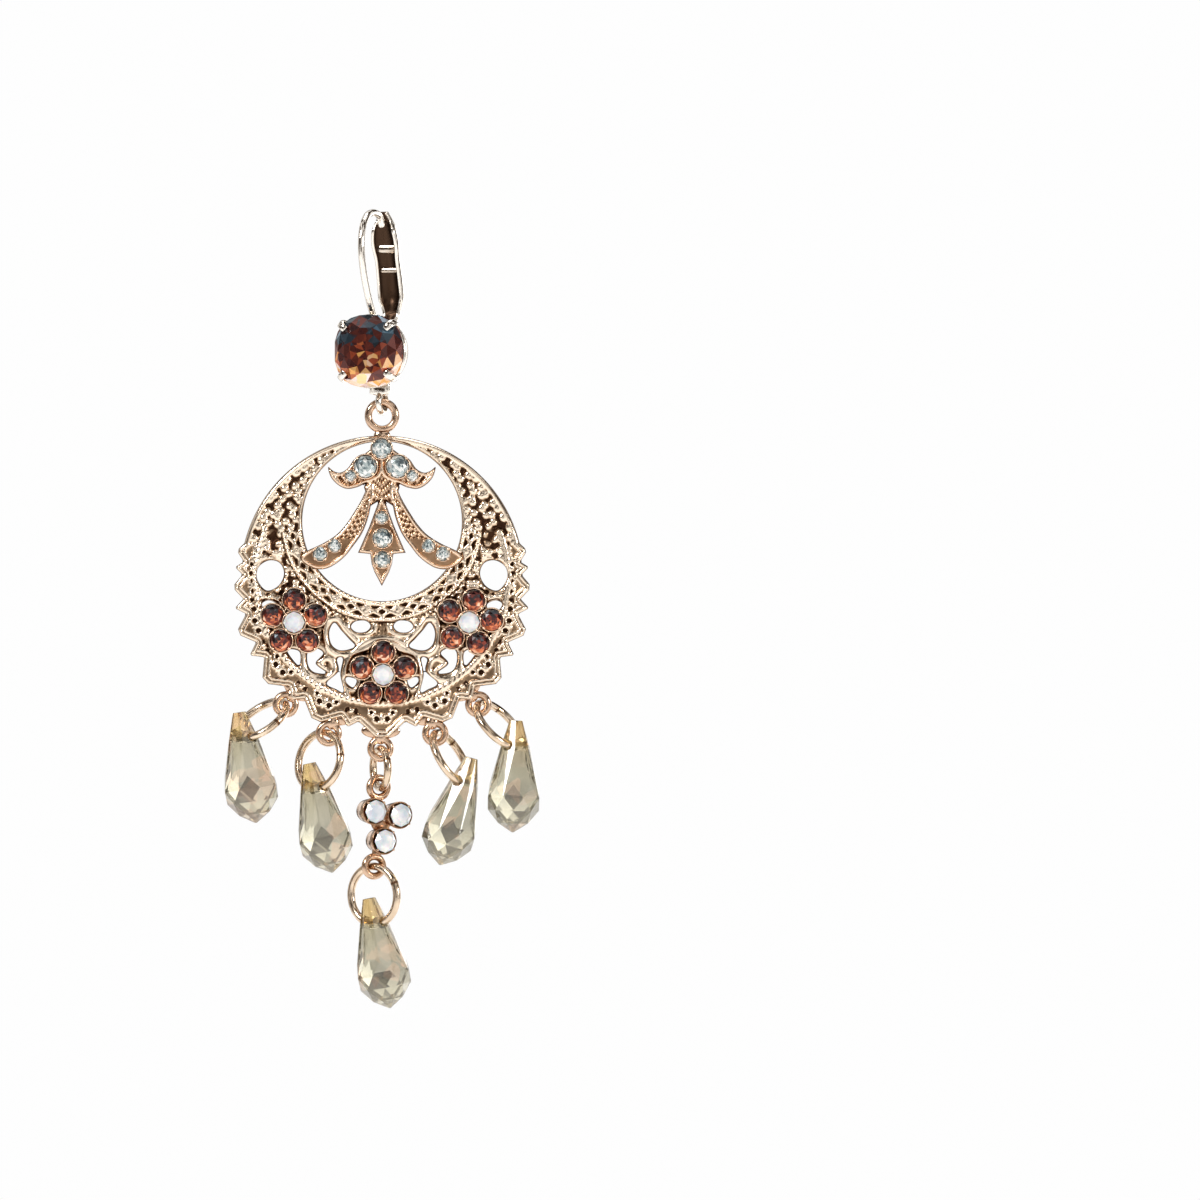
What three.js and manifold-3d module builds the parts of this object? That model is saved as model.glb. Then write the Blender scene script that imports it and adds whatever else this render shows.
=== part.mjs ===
// A chandelier earring: a leverback hook with one large round stone, and below it a pierced crescent
// frame that carries a palmette, three stone flowers, a trefoil link and five faceted glass drops.
// Millimetres, +Z up, the front faces -Y. The origin is the inner apex of the ear wire.
import * as THREE from 'three';
import { ConvexGeometry } from 'three/addons/geometries/ConvexGeometry.js';
import { mergeVertices } from 'three/addons/utils/BufferGeometryUtils.js';
import Module from 'manifold-3d';

const wasm = await Module();
wasm.setup();

// ---- Driving dimensions ------------------------------------------------------------------------

// The hook and its stone are turned about the ear wire, so that the wire shows its side.
const HOOK_TURN = -18;
const EAR_WIRE_R = 0.4;
// The ear wire's centre line, in Y and Z, from inside the cup over the ear to its free end.
const EAR_WIRE = [
  [-0.7, -12.4], [-1.3, -11.2], [-2.6, -9.6], [-4.2, -6.8], [-5, -4], [-4.6, -1.6],
  [-3.3, -0.2], [-1.6, 0.38], [0, 0.4], [1.2, 0.1], [1.95, -0.9],
];

// The round setting of the large stone.
const CUP = { z: -15.8, outer: 4.35, wall: 0.4, rim: -2, back: 1.2, floor: 0.75 };
const CLAW = { width: 1, turn: 45 };
const CUP_STONE = { radius: 3.85, girdle: -2.6, crown: 1.1, depth: 2.75 };

// The strap on the back of the cup, with the hinge ears and the foot that holds the eye.
const STRAP = { half: 1.3, front: 0.9, back: 1.7, top: -12.4, bottom: -20.9 };
const FOOT = { back: 2.3, top: -18 };
const PIN = { y: 3.2, z: -14, radius: 0.35, hole: 0.6, half: 1.7 };
const EAR = { inner: 0.9, outer: 1.4, radius: 1.1, root: 1.4 };
const EYE = { y: 2, z: -21.65, radius: 1.17, wire: 0.375 };

// The lever's sheet, its centre line in Y and Z and its half-width at each point.
const LEVER = { thickness: 0.5, flange: 1, wall: 0.4, tongue: 0.6, eye: 1.15 };
const LEVER_LINE = [
  { y: 2.5, z: 0.7, half: 0.6 },
  { y: 3.1, z: -1.2, half: 0.9 },
  { y: 3.6, z: -2.8, half: 1.6 },
  { y: 4.4, z: -4.6, half: 1.35 },
  { y: 5.2, z: -7, half: 1.5 },
  { y: 5.7, z: -9.4, half: 1.5 },
  { y: 5.2, z: -11.3, half: 0.9 },
  { y: 3.9, z: -13.6, half: 0.6 },
];
const LEVER_RIBS = [-3.7, -5.9];

// The frame's own centre, seen from the origin; every size below is measured from it.
const FRAME_CENTRE = [0.62, 1.9, -42.21];
const PLATE = { back: 0.45, front: -0.35 };
const RAISED = -0.65;
const RIM = { radius: 16.65, width: 0.55, foot: 104 };
const OPENING = { z: 6.58, radius: 9.37, band: 11.83 };
const ROPE = { inner: 14.3, outer: 15.2, foot: 115 };
const TOP_RING = { z: 18.97, radius: 1.6, wire: 0.45 };

// The stepped border below. Large points alternate with small ones, counted from straight down.
const POINTS = [
  { angle: 0, tip: 18.8, large: true },
  { angle: 12.9, tip: 17.9, large: false },
  { angle: 24.7, tip: 18.45, large: true },
  { angle: 36.5, tip: 17.8, large: false },
  { angle: 48.5, tip: 18.3, large: true },
  { angle: 59.5, tip: 17.85, large: false },
  { angle: 69, tip: 17.95, large: true },
  { angle: 78.2, tip: 17.5, large: false },
  { angle: 86.3, tip: 17.35, large: true },
  { angle: 94, tip: 17.15, large: false },
  { angle: 100.6, tip: 17.15, large: true },
];
// Between two points the border is cut back to a circle that draws in towards the sides.
const VALLEY = { bottom: 17.2, drawPerDegree: 0.009 };
const POINT = { foot: 2.5, flat: 0.75, smallFoot: 1, smallFlat: 0.12 };

// Pierced holes of the right half, in X and Z; the left half mirrors them.
const HOLES = {
  window: [[11.5, 0.4], [12, 1.7], [13.3, 2], [14.5, 1.2], [14.65, -0.2], [13.6, -1.5], [12.2, -1]],
  window_foot: [[12.3, -3.2], [13.3, -2.7], [14.1, -3.1], [13.6, -3.9], [12.8, -4.1]],
  oval: [[1.35, -5.7], [1.9, -5.1], [3.1, -5.15], [3.65, -5.8], [3, -6.4], [1.9, -6.35]],
  kidney: [[5.6, -5.3], [6.2, -6.4], [5.9, -7.9], [4.8, -8.55], [3.2, -8.1], [3.9, -7.2], [4.8, -6.2]],
  scroll: [[6.9, -8.9], [7.8, -8.3], [8.7, -8.7], [8.7, -10.2], [8, -11.1], [6.5, -11.2], [7.8, -10.1]],
  corner: [[9.7, -8.7], [11.1, -8.5], [10.5, -9.6], [9.7, -10.3]],
  tall: [[4.6, -9.5], [5.3, -9.6], [5.1, -11], [6.5, -12.4], [5.4, -13.1], [4.5, -13.4], [4.9, -11.4]],
  petal_gap: [[3, -12], [4.1, -11.7], [4.2, -12.3], [3.4, -12.9]],
};

// The palmette in front of the opening: right halves of its outlines, in X and Z.
const PALMETTE_FRONT = -1.3;
const PALMETTE = {
  wing: [
    [0, 15.9], [1, 14.9], [2, 14.5], [3.4, 13.5], [4.1, 12.6], [4.9, 12.35], [6.25, 12.8],
    [5.7, 11.3], [4.6, 10.6], [3.4, 10.4], [2.2, 10.7], [0, 12],
  ],
  stem: [[0, 13.5], [0.9, 13], [2.1, 10.6], [1.3, 8.4], [0, 9]],
  ribbon: [
    [1.8, 10.4], [3.35, 7.5], [5.4, 4.9], [8.85, 3], [9.6, 2.3], [9.1, 1.7], [7.8, 0.95],
    [5.4, 1.5], [3.35, 3.6], [2.1, 5.2], [1.3, 8],
  ],
  dart: [[0, 9.6], [2.8, 2.95], [1.4, 2.6], [1, 1], [0, -0.9]],
};

// Set stones. Each sits a hair in front of the metal that its claws hold it to.
const SEAT_GAP = 0.15;
const SET_STONE_RISE = 0.8;
const PALMETTE_STONES = [
  { name: 'top_stone', x: 0, z: 15.1, radius: 1.15 },
  { name: 'wing_stone_left', x: -1.9, z: 13, radius: 1.3 },
  { name: 'wing_stone_right', x: 1.9, z: 13, radius: 1.3 },
  { name: 'wing_tip_stone_left', x: -3.6, z: 11.9, radius: 0.65 },
  { name: 'wing_tip_stone_right', x: 3.6, z: 11.9, radius: 0.65 },
  { name: 'ribbon_stone_left', x: -5.5, z: 3.7, radius: 0.75 },
  { name: 'ribbon_stone_right', x: 5.5, z: 3.7, radius: 0.75 },
  { name: 'ribbon_end_stone_left', x: -7.2, z: 2.75, radius: 0.8 },
  { name: 'ribbon_end_stone_right', x: 7.2, z: 2.75, radius: 0.8 },
  { name: 'dart_stone_top', x: 0, z: 7, radius: 0.75 },
  { name: 'dart_stone_middle', x: 0.1, z: 4.6, radius: 1.1 },
  { name: 'dart_stone_bottom', x: 0.1, z: 2.1, radius: 0.95 },
];
const FLOWERS = [
  { name: 'flower_left', x: -10.25, z: -5.25, turn: 0 },
  { name: 'flower_centre', x: 0.2, z: -11.4, turn: 0 },
  { name: 'flower_right', x: 10.25, z: -5.25, turn: -12 },
];
const FLOWER = { petals: 5, reach: 2.65, petal: 1.27, opal: 1.25, cup: 1.4, front: -1.1, heart: -1.4 };

// Cast lugs under the border, and the rings that hang in them.
const LUG = { radius: 1.2, wire: 0.3, neck: 1.5 };
const LUGS = {
  outer_left: [-11.3, -14.9],
  inner_left: [-6.25, -18.3],
  centre: [-0.18, -20.1],
  inner_right: [6.25, -18.3],
  outer_right: [11.3, -14.9],
};
const RING = { radius: 3.4, wire: 0.42 };
const LINK_RING_R = 2.3;

// The trefoil link hangs turned to its left. Its cups and loops are in its own X and Z.
const TREFOIL = { x: -0.6, turn: 27, cup: 1.6, back: 1.2, front: -1.2, opal: 1.36 };
const TREFOIL_CUPS = [
  { name: 'trefoil_opal_left', x: -0.86, z: -27.4 },
  { name: 'trefoil_opal_right', x: 2.39, z: -27.9 },
  { name: 'trefoil_opal_bottom', x: 0.35, z: -30.9 },
];
const TREFOIL_LOOPS = { top: [0.21, -24.65], bottom: [-0.38, -33.9] };

// Lean is a ring's long axis from straight down, tilt its turn about that axis, and swing the drop's.
const HANGERS = [
  { name: 'outer_left', lean: -58, tilt: 66, swing: 8.7 },
  { name: 'inner_left', lean: -19, tilt: 44, swing: 11.9 },
  { name: 'inner_right', lean: 32, tilt: -71, swing: -16.4 },
  { name: 'outer_right', lean: 45, tilt: -68, swing: -1.7 },
  { name: 'bottom', lean: 0, tilt: 36, swing: 10.9 },
];
const LINK_TILT = 66;

// A drop's facet corners, by distance below its top; half marks a row turned by half a facet.
const DROP = { sides: 8, hole: 3.1, clearance: 0.3 };
const DROP_ROWS = [
  { down: 0, radius: 0.75, half: false },
  { down: 3.3, radius: 1.75, half: false },
  { down: 7.4, radius: 2.85, half: false },
  { down: 9, radius: 3.25, half: true },
  { down: 10.5, radius: 3, half: false },
  { down: 12, radius: 1.9, half: true },
  { down: 13.1, radius: 0.12, half: false },
];

// ---- Finishes ----------------------------------------------------------------------------------

const METAL = { color: 0xd9bd94, roughness: 0.3, metalness: 1 };
const COPPERY = { color: 0xcb9f78, roughness: 0.36, metalness: 1 };
const BURGUNDY = { color: 0x6b3a34, roughness: 0.08, metalness: 0.1 };
const RUST = { color: 0x7d4238, roughness: 0.1, metalness: 0.1 };
const OPAL = { color: 0xe3eaf0, roughness: 0.2, metalness: 0 };
const CLEAR = { color: 0xb9c7c6, roughness: 0.05, metalness: 0 };
const CHAMPAGNE_GLASS = { color: 0xb9b48f, roughness: 0.04, metalness: 0 };

// ---- Working with solids -----------------------------------------------------------------------

const { degToRad } = THREE.MathUtils;

// Makes a closed geometry into a solid that can be joined and cut.
function solid(geometry) {
  const bare = geometry.clone();
  bare.deleteAttribute('normal');
  bare.deleteAttribute('uv');
  const merged = mergeVertices(bare, 1e-4);
  const corners = [];
  for (let i = 0; i < merged.index.count; i += 3) {
    const [a, b, c] = [0, 1, 2].map((k) => merged.index.getX(i + k));
    if (a !== b && b !== c && c !== a) corners.push(a, b, c);
  }
  return new wasm.Manifold(new wasm.Mesh({
    numProp: 3,
    vertProperties: merged.attributes.position.array,
    triVerts: new Uint32Array(corners),
  }));
}

function join(geometries) {
  return geometries.map(solid).reduce((sum, part) => sum.add(part));
}

function piece(name, shape, finish) {
  let geometry = shape;
  if (!shape.isBufferGeometry) {
    const { vertProperties, triVerts } = shape.getMesh();
    geometry = new THREE.BufferGeometry();
    geometry.setAttribute('position', new THREE.BufferAttribute(vertProperties, 3));
    geometry.setIndex(new THREE.BufferAttribute(triVerts, 1));
  }
  geometry.computeVertexNormals();
  const mesh = new THREE.Mesh(geometry, new THREE.MeshStandardMaterial(finish));
  mesh.name = name;
  return mesh;
}

// A flat outline in X and Z with a thickness in Y, from its back face to its front face.
function frontSheet(outline, back, front, curveSegments = 6) {
  const options = { depth: back - front, bevelEnabled: false, curveSegments };
  return new THREE.ExtrudeGeometry(outline, options).rotateX(Math.PI / 2).translate(0, back, 0);
}

// A flat outline in Y and Z with a thickness in X.
function sideSheet(outline, left, right) {
  const turn = new THREE.Matrix4().makeBasis(
    new THREE.Vector3(0, 1, 0), new THREE.Vector3(0, 0, 1), new THREE.Vector3(1, 0, 0));
  const options = { depth: right - left, bevelEnabled: false, curveSegments: 6 };
  return new THREE.ExtrudeGeometry(outline, options).applyMatrix4(turn).translate(left, 0, 0);
}

function block(left, right, front, back, bottom, top) {
  return new THREE.BoxGeometry(right - left, back - front, top - bottom)
    .translate((left + right) / 2, (front + back) / 2, (bottom + top) / 2);
}

function polygon(points) {
  return new THREE.Shape(points.map(([x, z]) => new THREE.Vector2(x, z)));
}

// A closed smooth line through a few points, mirrored where side is -1.
function smoothLine(points, side, steps) {
  const corners = points.map(([x, z]) => new THREE.Vector3(side * x, z, 0));
  return new THREE.CatmullRomCurve3(corners, true, 'centripetal').getPoints(steps)
    .slice(0, -1).map(({ x, y }) => new THREE.Vector2(x, y));
}

// A round wire loop about centre, with u and w the directions of its plane.
function wireLoop(centre, radius, wire, u, w, sides = 6, steps = 20) {
  const place = new THREE.Matrix4().makeBasis(u, w, new THREE.Vector3().crossVectors(u, w));
  place.setPosition(centre);
  return new THREE.TorusGeometry(radius, wire, sides, steps).applyMatrix4(place);
}

// A lug or loop that faces front, in X and Z.
function facingLoop([x, z], radius, wire) {
  const across = new THREE.Vector3(1, 0, 0);
  const up = new THREE.Vector3(0, 0, 1);
  return wireLoop(new THREE.Vector3(x, 0, z), radius, wire, across, up, 6, 16);
}

// A cut stone: rows of corners about an axis, row.rise towards the front, and its convex skin.
function cutStone(rows, sides) {
  const corners = rows.flatMap(({ radius, rise, half }) => {
    const turn = half ? Math.PI / sides : 0;
    return Array.from({ length: sides }, (_, i) => {
      const angle = turn + (2 * Math.PI * i) / sides;
      return new THREE.Vector3(radius * Math.cos(angle), -rise, radius * Math.sin(angle));
    });
  });
  return new ConvexGeometry(corners);
}

// A small flat-backed stone with eight crown facets, whose back is at y.
function setStone(name, x, y, z, radius, finish) {
  const stone = cutStone([
    { radius: 0.85 * radius, rise: 0, half: false },
    { radius, rise: 0.3 * SET_STONE_RISE, half: false },
    { radius: 0.58 * radius, rise: SET_STONE_RISE, half: true },
  ], 8);
  return piece(name, stone.translate(x, y, z), finish);
}

// ---- The hook ----------------------------------------------------------------------------------

function earWire() {
  const line = new THREE.CatmullRomCurve3(EAR_WIRE.map(([y, z]) => new THREE.Vector3(0, y, z)));
  const section = new THREE.Shape().absarc(0, 0, EAR_WIRE_R, 0, 2 * Math.PI);
  return new THREE.ExtrudeGeometry(section, { steps: 24, curveSegments: 4, extrudePath: line });
}

// The open cup, turned about a front-to-back axis: from its floor up to the rim, then down outside.
function cupWall() {
  const profile = [
    [0, CUP.floor], [3.3, -1.3], [CUP.outer - CUP.wall, CUP.rim], [CUP.outer, CUP.rim],
    [3.9, 0.2], [2.9, CUP.back], [0, CUP.back],
  ].map(([r, y]) => new THREE.Vector2(r, y));
  return new THREE.LatheGeometry(profile, 24).translate(0, 0, CUP.z);
}

// One claw: its side outline, in distance from the axis and Y, bends over the stone's crown.
function claw(index) {
  const outline = [
    [CUP.outer - 0.3, -1.6], [CUP.outer + 0.2, -1.6], [CUP.outer + 0.2, -3.3],
    [CUP.outer - 0.15, -3.75], [3.35, -3.95], [3.35, -3.65], [4.05, -3.25], [4.05, -1.9],
  ];
  const angle = degToRad(CLAW.turn + 90 * index);
  return new THREE.ExtrudeGeometry(polygon(outline), { depth: CLAW.width, bevelEnabled: false })
    .translate(0, 0, -CLAW.width / 2).rotateY(angle).translate(0, 0, CUP.z);
}

function hingeEar(side) {
  const outline = new THREE.Shape().moveTo(EAR.root, PIN.z - 1.3);
  outline.lineTo(PIN.y, PIN.z - EAR.radius);
  outline.absarc(PIN.y, PIN.z, EAR.radius, -Math.PI / 2, Math.PI / 2);
  outline.lineTo(EAR.root, PIN.z + 1.3);
  const [left, right] = side > 0 ? [EAR.inner, EAR.outer] : [-EAR.outer, -EAR.inner];
  return sideSheet(outline, left, right);
}

function pinRod(radius, half, sides) {
  return new THREE.CylinderGeometry(radius, radius, 2 * half, sides)
    .rotateZ(Math.PI / 2).translate(0, PIN.y, PIN.z);
}

function earHook() {
  const across = new THREE.Vector3(0, 1, 0);
  const up = new THREE.Vector3(0, 0, 1);
  const eyeCentre = new THREE.Vector3(0, EYE.y, EYE.z);
  const joined = join([
    earWire(),
    cupWall(),
    ...[0, 1, 2, 3].map(claw),
    block(-STRAP.half, STRAP.half, STRAP.front, STRAP.back, STRAP.bottom, STRAP.top),
    block(-0.8, 0.8, STRAP.front, FOOT.back, STRAP.bottom, FOOT.top),
    hingeEar(-1),
    hingeEar(1),
    wireLoop(eyeCentre, EYE.radius, EYE.wire, across, up, 8, 20),
  ]);
  return joined.subtract(solid(pinRod(PIN.hole, 2 * PIN.half, 12)));
}

function cupStone() {
  const { radius, crown, depth, girdle } = CUP_STONE;
  return cutStone([
    { radius: 0.05, rise: -depth, half: false },
    { radius: 0.57 * radius, rise: -0.55 * depth, half: false },
    { radius, rise: -0.1, half: false },
    { radius, rise: 0.1, half: false },
    { radius: radius * 0.98, rise: 0.14, half: true },
    { radius: 0.8 * radius, rise: 0.6 * crown, half: true },
    { radius: 0.54 * radius, rise: crown, half: false },
  ], 8).translate(0, girdle, CUP.z);
}

// The lever's centre line moved sideways by offset, towards the back where it is positive.
function leverEdge(offset, first, last) {
  const line = new THREE.SplineCurve(LEVER_LINE.map(({ y, z }) => new THREE.Vector2(y, z)));
  const steps = 14;
  return Array.from({ length: steps + 1 }, (_, i) => {
    const t = first + ((last - first) * i) / steps;
    const tangent = line.getTangent(t);
    return line.getPoint(t).add(new THREE.Vector2(-tangent.y, tangent.x).multiplyScalar(offset));
  });
}

// Front view of the lever, narrower all round by inset.
function leverFront(inset) {
  const right = LEVER_LINE.map(({ z, half }) => new THREE.Vector2(half - inset, z));
  const left = LEVER_LINE.map(({ z, half }) => new THREE.Vector2(inset - half, z)).reverse();
  return new THREE.Shape([...right, ...left]);
}

// A strip of the lever's side view between two offsets, as wide as the widest part.
function leverStrip(from, to, first, last) {
  const outline = [...leverEdge(from, first, last), ...leverEdge(to, first, last).reverse()];
  return solid(sideSheet(new THREE.Shape(outline), -2, 2));
}

// A formed sheet with side flanges that face front, two ribs across it and a tongue on the pin.
function lever() {
  const half = LEVER.thickness / 2;
  const [flangeTop, flangeBottom] = [0.22, 0.84];
  const face = solid(frontSheet(leverFront(0), 8, -2));
  const channel = solid(frontSheet(leverFront(LEVER.wall), 8, -2));
  const web = leverStrip(-half, half, 0, 1).intersect(face);
  const flanges = leverStrip(-LEVER.flange, 0, flangeTop, flangeBottom).intersect(face).subtract(channel);
  const eye = new THREE.CylinderGeometry(LEVER.eye, LEVER.eye, 2 * LEVER.tongue, 16)
    .rotateZ(Math.PI / 2).translate(0, PIN.y, PIN.z);
  const ribs = LEVER_RIBS.map((z) => {
    const y = z > LEVER_LINE[3].z ? 3.95 : 4.85;
    return solid(block(-1.2, 1.2, y - 0.6, y + 0.1, z - 0.3, z + 0.3));
  });
  return [flanges, ...ribs, solid(eye)].reduce((sum, part) => sum.add(part), web)
    .subtract(solid(pinRod(PIN.hole, 2, 12)));
}

// ---- The crescent frame ------------------------------------------------------------------------

// A point at an angle from straight down, positive to the right, and a distance from the centre.
function polar(angle, radius) {
  return new THREE.Vector2(radius * Math.sin(degToRad(angle)), -radius * Math.cos(degToRad(angle)));
}

function valleyRadius(angle) {
  return VALLEY.bottom - VALLEY.drawPerDegree * Math.abs(angle);
}

// Half the width of a border point at its foot; the large ones narrow towards the sides.
function pointFoot({ angle, large }) {
  return large ? POINT.foot - 0.009 * Math.abs(angle) : POINT.smallFoot;
}

// The plate's outline: border points and the valleys between them, then the plain rim over the top.
function plateOutline() {
  const left = POINTS.slice(1).map((point) => ({ ...point, angle: -point.angle })).reverse();
  const points = [...left, ...POINTS];
  const outline = new THREE.Shape();
  outline.moveTo(...polar(-RIM.foot, RIM.radius).toArray());
  points.forEach((point, i) => {
    const flat = point.large ? POINT.flat - 0.005 * Math.abs(point.angle) : POINT.smallFlat;
    const flatAngle = THREE.MathUtils.radToDeg(flat / point.tip);
    outline.lineTo(...polar(point.angle - flatAngle, point.tip).toArray());
    outline.lineTo(...polar(point.angle + flatAngle, point.tip).toArray());
    if (i < points.length - 1) {
      const next = points[i + 1];
      const share = pointFoot(point) / (pointFoot(point) + pointFoot(next));
      const valley = point.angle + share * (next.angle - point.angle);
      outline.lineTo(...polar(valley, valleyRadius(valley)).toArray());
    }
  });
  const foot = degToRad(RIM.foot - 90);
  outline.absarc(0, 0, RIM.radius, foot, Math.PI - foot, false);
  return outline;
}

function piercedPlate() {
  const outline = plateOutline();
  outline.holes.push(new THREE.Path().absarc(0, OPENING.z, OPENING.radius, 0, 2 * Math.PI, true));
  for (const points of Object.values(HOLES)) {
    for (const side of [-1, 1]) outline.holes.push(new THREE.Path(smoothLine(points, side, 14)));
  }
  return frontSheet(outline, PLATE.back, PLATE.front, 18);
}

// A raised flat arc on the plate, from one angle to another about (0, z).
function raisedArc(z, inner, outer, from, to) {
  const start = degToRad(from - 90);
  const end = degToRad(to - 90);
  const arc = new THREE.Shape().absarc(0, z, outer, start, end, false);
  arc.absarc(0, z, inner, end, start, true);
  return frontSheet(arc, 0, RAISED, 14);
}

function palmetteHalf(name, side) {
  const points = PALMETTE[name].map(([x, z]) => [side * x, z]);
  const front = name === 'dart' ? PALMETTE_FRONT : PALMETTE_FRONT + 0.02;
  return frontSheet(polygon(points), PLATE.front + 0.1, front);
}

function flowerCups({ x, z, turn }) {
  const cup = (radius, front, cx, cz) => new THREE.CylinderGeometry(radius, radius, -front, 12)
    .translate(0, front / 2, 0).translate(cx, 0, cz);
  const petals = petalPlaces(x, z, turn).map(([px, pz]) => cup(FLOWER.cup, FLOWER.front, px, pz));
  return [cup(FLOWER.cup + 0.15, FLOWER.heart, x, z), ...petals];
}

function petalPlaces(x, z, turn) {
  return Array.from({ length: FLOWER.petals }, (_, i) => {
    const angle = degToRad(90 + turn + (360 * i) / FLOWER.petals);
    return [x + FLOWER.reach * Math.cos(angle), z + FLOWER.reach * Math.sin(angle)];
  });
}

// A lug with the short neck that joins it to the border.
function lugWithNeck([x, z]) {
  const distance = Math.hypot(x, z);
  const end = distance - LUG.radius;
  const neck = block(-LUG.neck / 2, LUG.neck / 2, -0.3, 0.3, -end, -RIM.radius + 1);
  return [facingLoop([x, z], LUG.radius, LUG.wire), neck.rotateY(Math.atan2(-x, -z))];
}

function crescentFrame() {
  const halves = Object.keys(PALMETTE).flatMap((name) => [palmetteHalf(name, -1), palmetteHalf(name, 1)]);
  return join([
    piercedPlate(),
    raisedArc(0, RIM.radius - RIM.width, RIM.radius, RIM.foot, 360 - RIM.foot),
    raisedArc(0, ROPE.inner, ROPE.outer, -ROPE.foot, ROPE.foot),
    raisedArc(OPENING.z, OPENING.radius, OPENING.radius + 0.5, -75, 75),
    raisedArc(OPENING.z, OPENING.band - 0.5, OPENING.band, -68, 68),
    ...halves,
    ...FLOWERS.flatMap(flowerCups),
    ...Object.values(LUGS).flatMap(lugWithNeck),
    facingLoop([0, TOP_RING.z], TOP_RING.radius, TOP_RING.wire),
    block(-0.9, 0.9, -0.35, 0.4, RIM.radius - 0.6, TOP_RING.z - TOP_RING.radius),
  ]);
}

function flowerStones(flower) {
  const { name, x, z, turn } = flower;
  const heart = setStone(`${name}_opal`, x, FLOWER.heart - SEAT_GAP, z, FLOWER.opal, OPAL);
  const petals = petalPlaces(x, z, turn).map(([px, pz], i) => (
    setStone(`${name}_petal_${i + 1}`, px, FLOWER.front - SEAT_GAP, pz, FLOWER.petal, RUST)));
  return [heart, ...petals];
}

// ---- The trefoil link, the rings and the drops ---------------------------------------------------

function trefoilLink() {
  const cups = TREFOIL_CUPS.map(({ x, z }) => (
    new THREE.CylinderGeometry(TREFOIL.cup - 0.3, TREFOIL.cup, TREFOIL.back - TREFOIL.front, 14)
      .translate(x, 0, z)));
  const bridge = new THREE.CylinderGeometry(1.3, 1.3, 1, 12).translate(0.6, 0.2, -28.7);
  const [topX, topZ] = TREFOIL_LOOPS.top;
  const [bottomX, bottomZ] = TREFOIL_LOOPS.bottom;
  const topNeck = block(topX - 0.8, topX + 0.3, -0.4, 0.4, topZ - 2, topZ - LUG.radius);
  const bottomNeck = block(bottomX - 0.2, bottomX + 0.9, -0.4, 0.4, bottomZ + LUG.radius, bottomZ + 2);
  return join([
    ...cups, bridge, topNeck, bottomNeck,
    facingLoop(TREFOIL_LOOPS.top, LUG.radius, LUG.wire),
    facingLoop(TREFOIL_LOOPS.bottom, LUG.radius, LUG.wire),
  ]);
}

// Where a ring lies: it hangs from hook by the upper end of its long axis u; w crosses its plane.
function ringPlace(hook, lean, tilt, radius) {
  const [l, t] = [degToRad(lean), degToRad(tilt)];
  const u = new THREE.Vector3(Math.sin(l), 0, -Math.cos(l));
  const w = new THREE.Vector3(Math.cos(l) * Math.cos(t), -Math.sin(t), Math.sin(l) * Math.cos(t));
  const centre = hook.clone().addScaledVector(u, radius);
  const lowest = -Math.atan(Math.tan(l) * Math.cos(t));
  const low = centre.clone()
    .addScaledVector(u, radius * Math.cos(lowest)).addScaledVector(w, radius * Math.sin(lowest));
  return { centre, u, w, low };
}

// A faceted drop whose drilled hole sits on the ring's lowest stretch, with room for the wire.
function drop(place, swing) {
  const corners = DROP_ROWS.flatMap(({ down, radius, half }) => (
    Array.from({ length: DROP.sides }, (_, i) => {
      const angle = ((i + (half ? 0.5 : 0)) * 2 * Math.PI) / DROP.sides;
      return new THREE.Vector3(radius * Math.cos(angle), radius * Math.sin(angle), DROP.hole - down);
    })));
  const glass = new ConvexGeometry(corners).rotateY(degToRad(-swing))
    .translate(place.low.x, place.low.y, place.low.z);
  const bore = wireLoop(place.centre, RING.radius, RING.wire + DROP.clearance, place.u, place.w, 8, 24);
  return solid(glass).subtract(solid(bore));
}

// A point of the turned trefoil link, in the frame's own axes.
function onTrefoil([x, z]) {
  const turn = degToRad(TREFOIL.turn);
  return new THREE.Vector3(TREFOIL.x + x * Math.cos(turn), x * Math.sin(turn), z);
}

function hangerPieces({ name, lean, tilt, swing }) {
  const lug = LUGS[name];
  const hook = lug ? new THREE.Vector3(lug[0], 0, lug[1]) : onTrefoil(TREFOIL_LOOPS.bottom);
  const place = ringPlace(hook, lean, tilt, RING.radius);
  const ring = wireLoop(place.centre, RING.radius, RING.wire, place.u, place.w);
  return [
    piece(`jump_ring_${name}`, ring, METAL),
    piece(`drop_${name}`, drop(place, swing), CHAMPAGNE_GLASS),
  ];
}

// ---- Assembly ----------------------------------------------------------------------------------

const hook = new THREE.Group();
hook.rotation.z = degToRad(HOOK_TURN);
hook.add(
  piece('ear_hook', earHook(), METAL),
  piece('cup_stone', cupStone(), BURGUNDY),
  piece('hinge_pin', pinRod(PIN.radius, PIN.half, 12), METAL),
  piece('lever', lever(), METAL),
);

const trefoil = new THREE.Group();
trefoil.position.x = TREFOIL.x;
trefoil.rotation.z = degToRad(TREFOIL.turn);
trefoil.add(piece('trefoil_link', trefoilLink(), COPPERY));
for (const { name, x, z } of TREFOIL_CUPS) {
  trefoil.add(setStone(name, x, TREFOIL.front - SEAT_GAP, z, TREFOIL.opal, OPAL));
}

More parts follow.
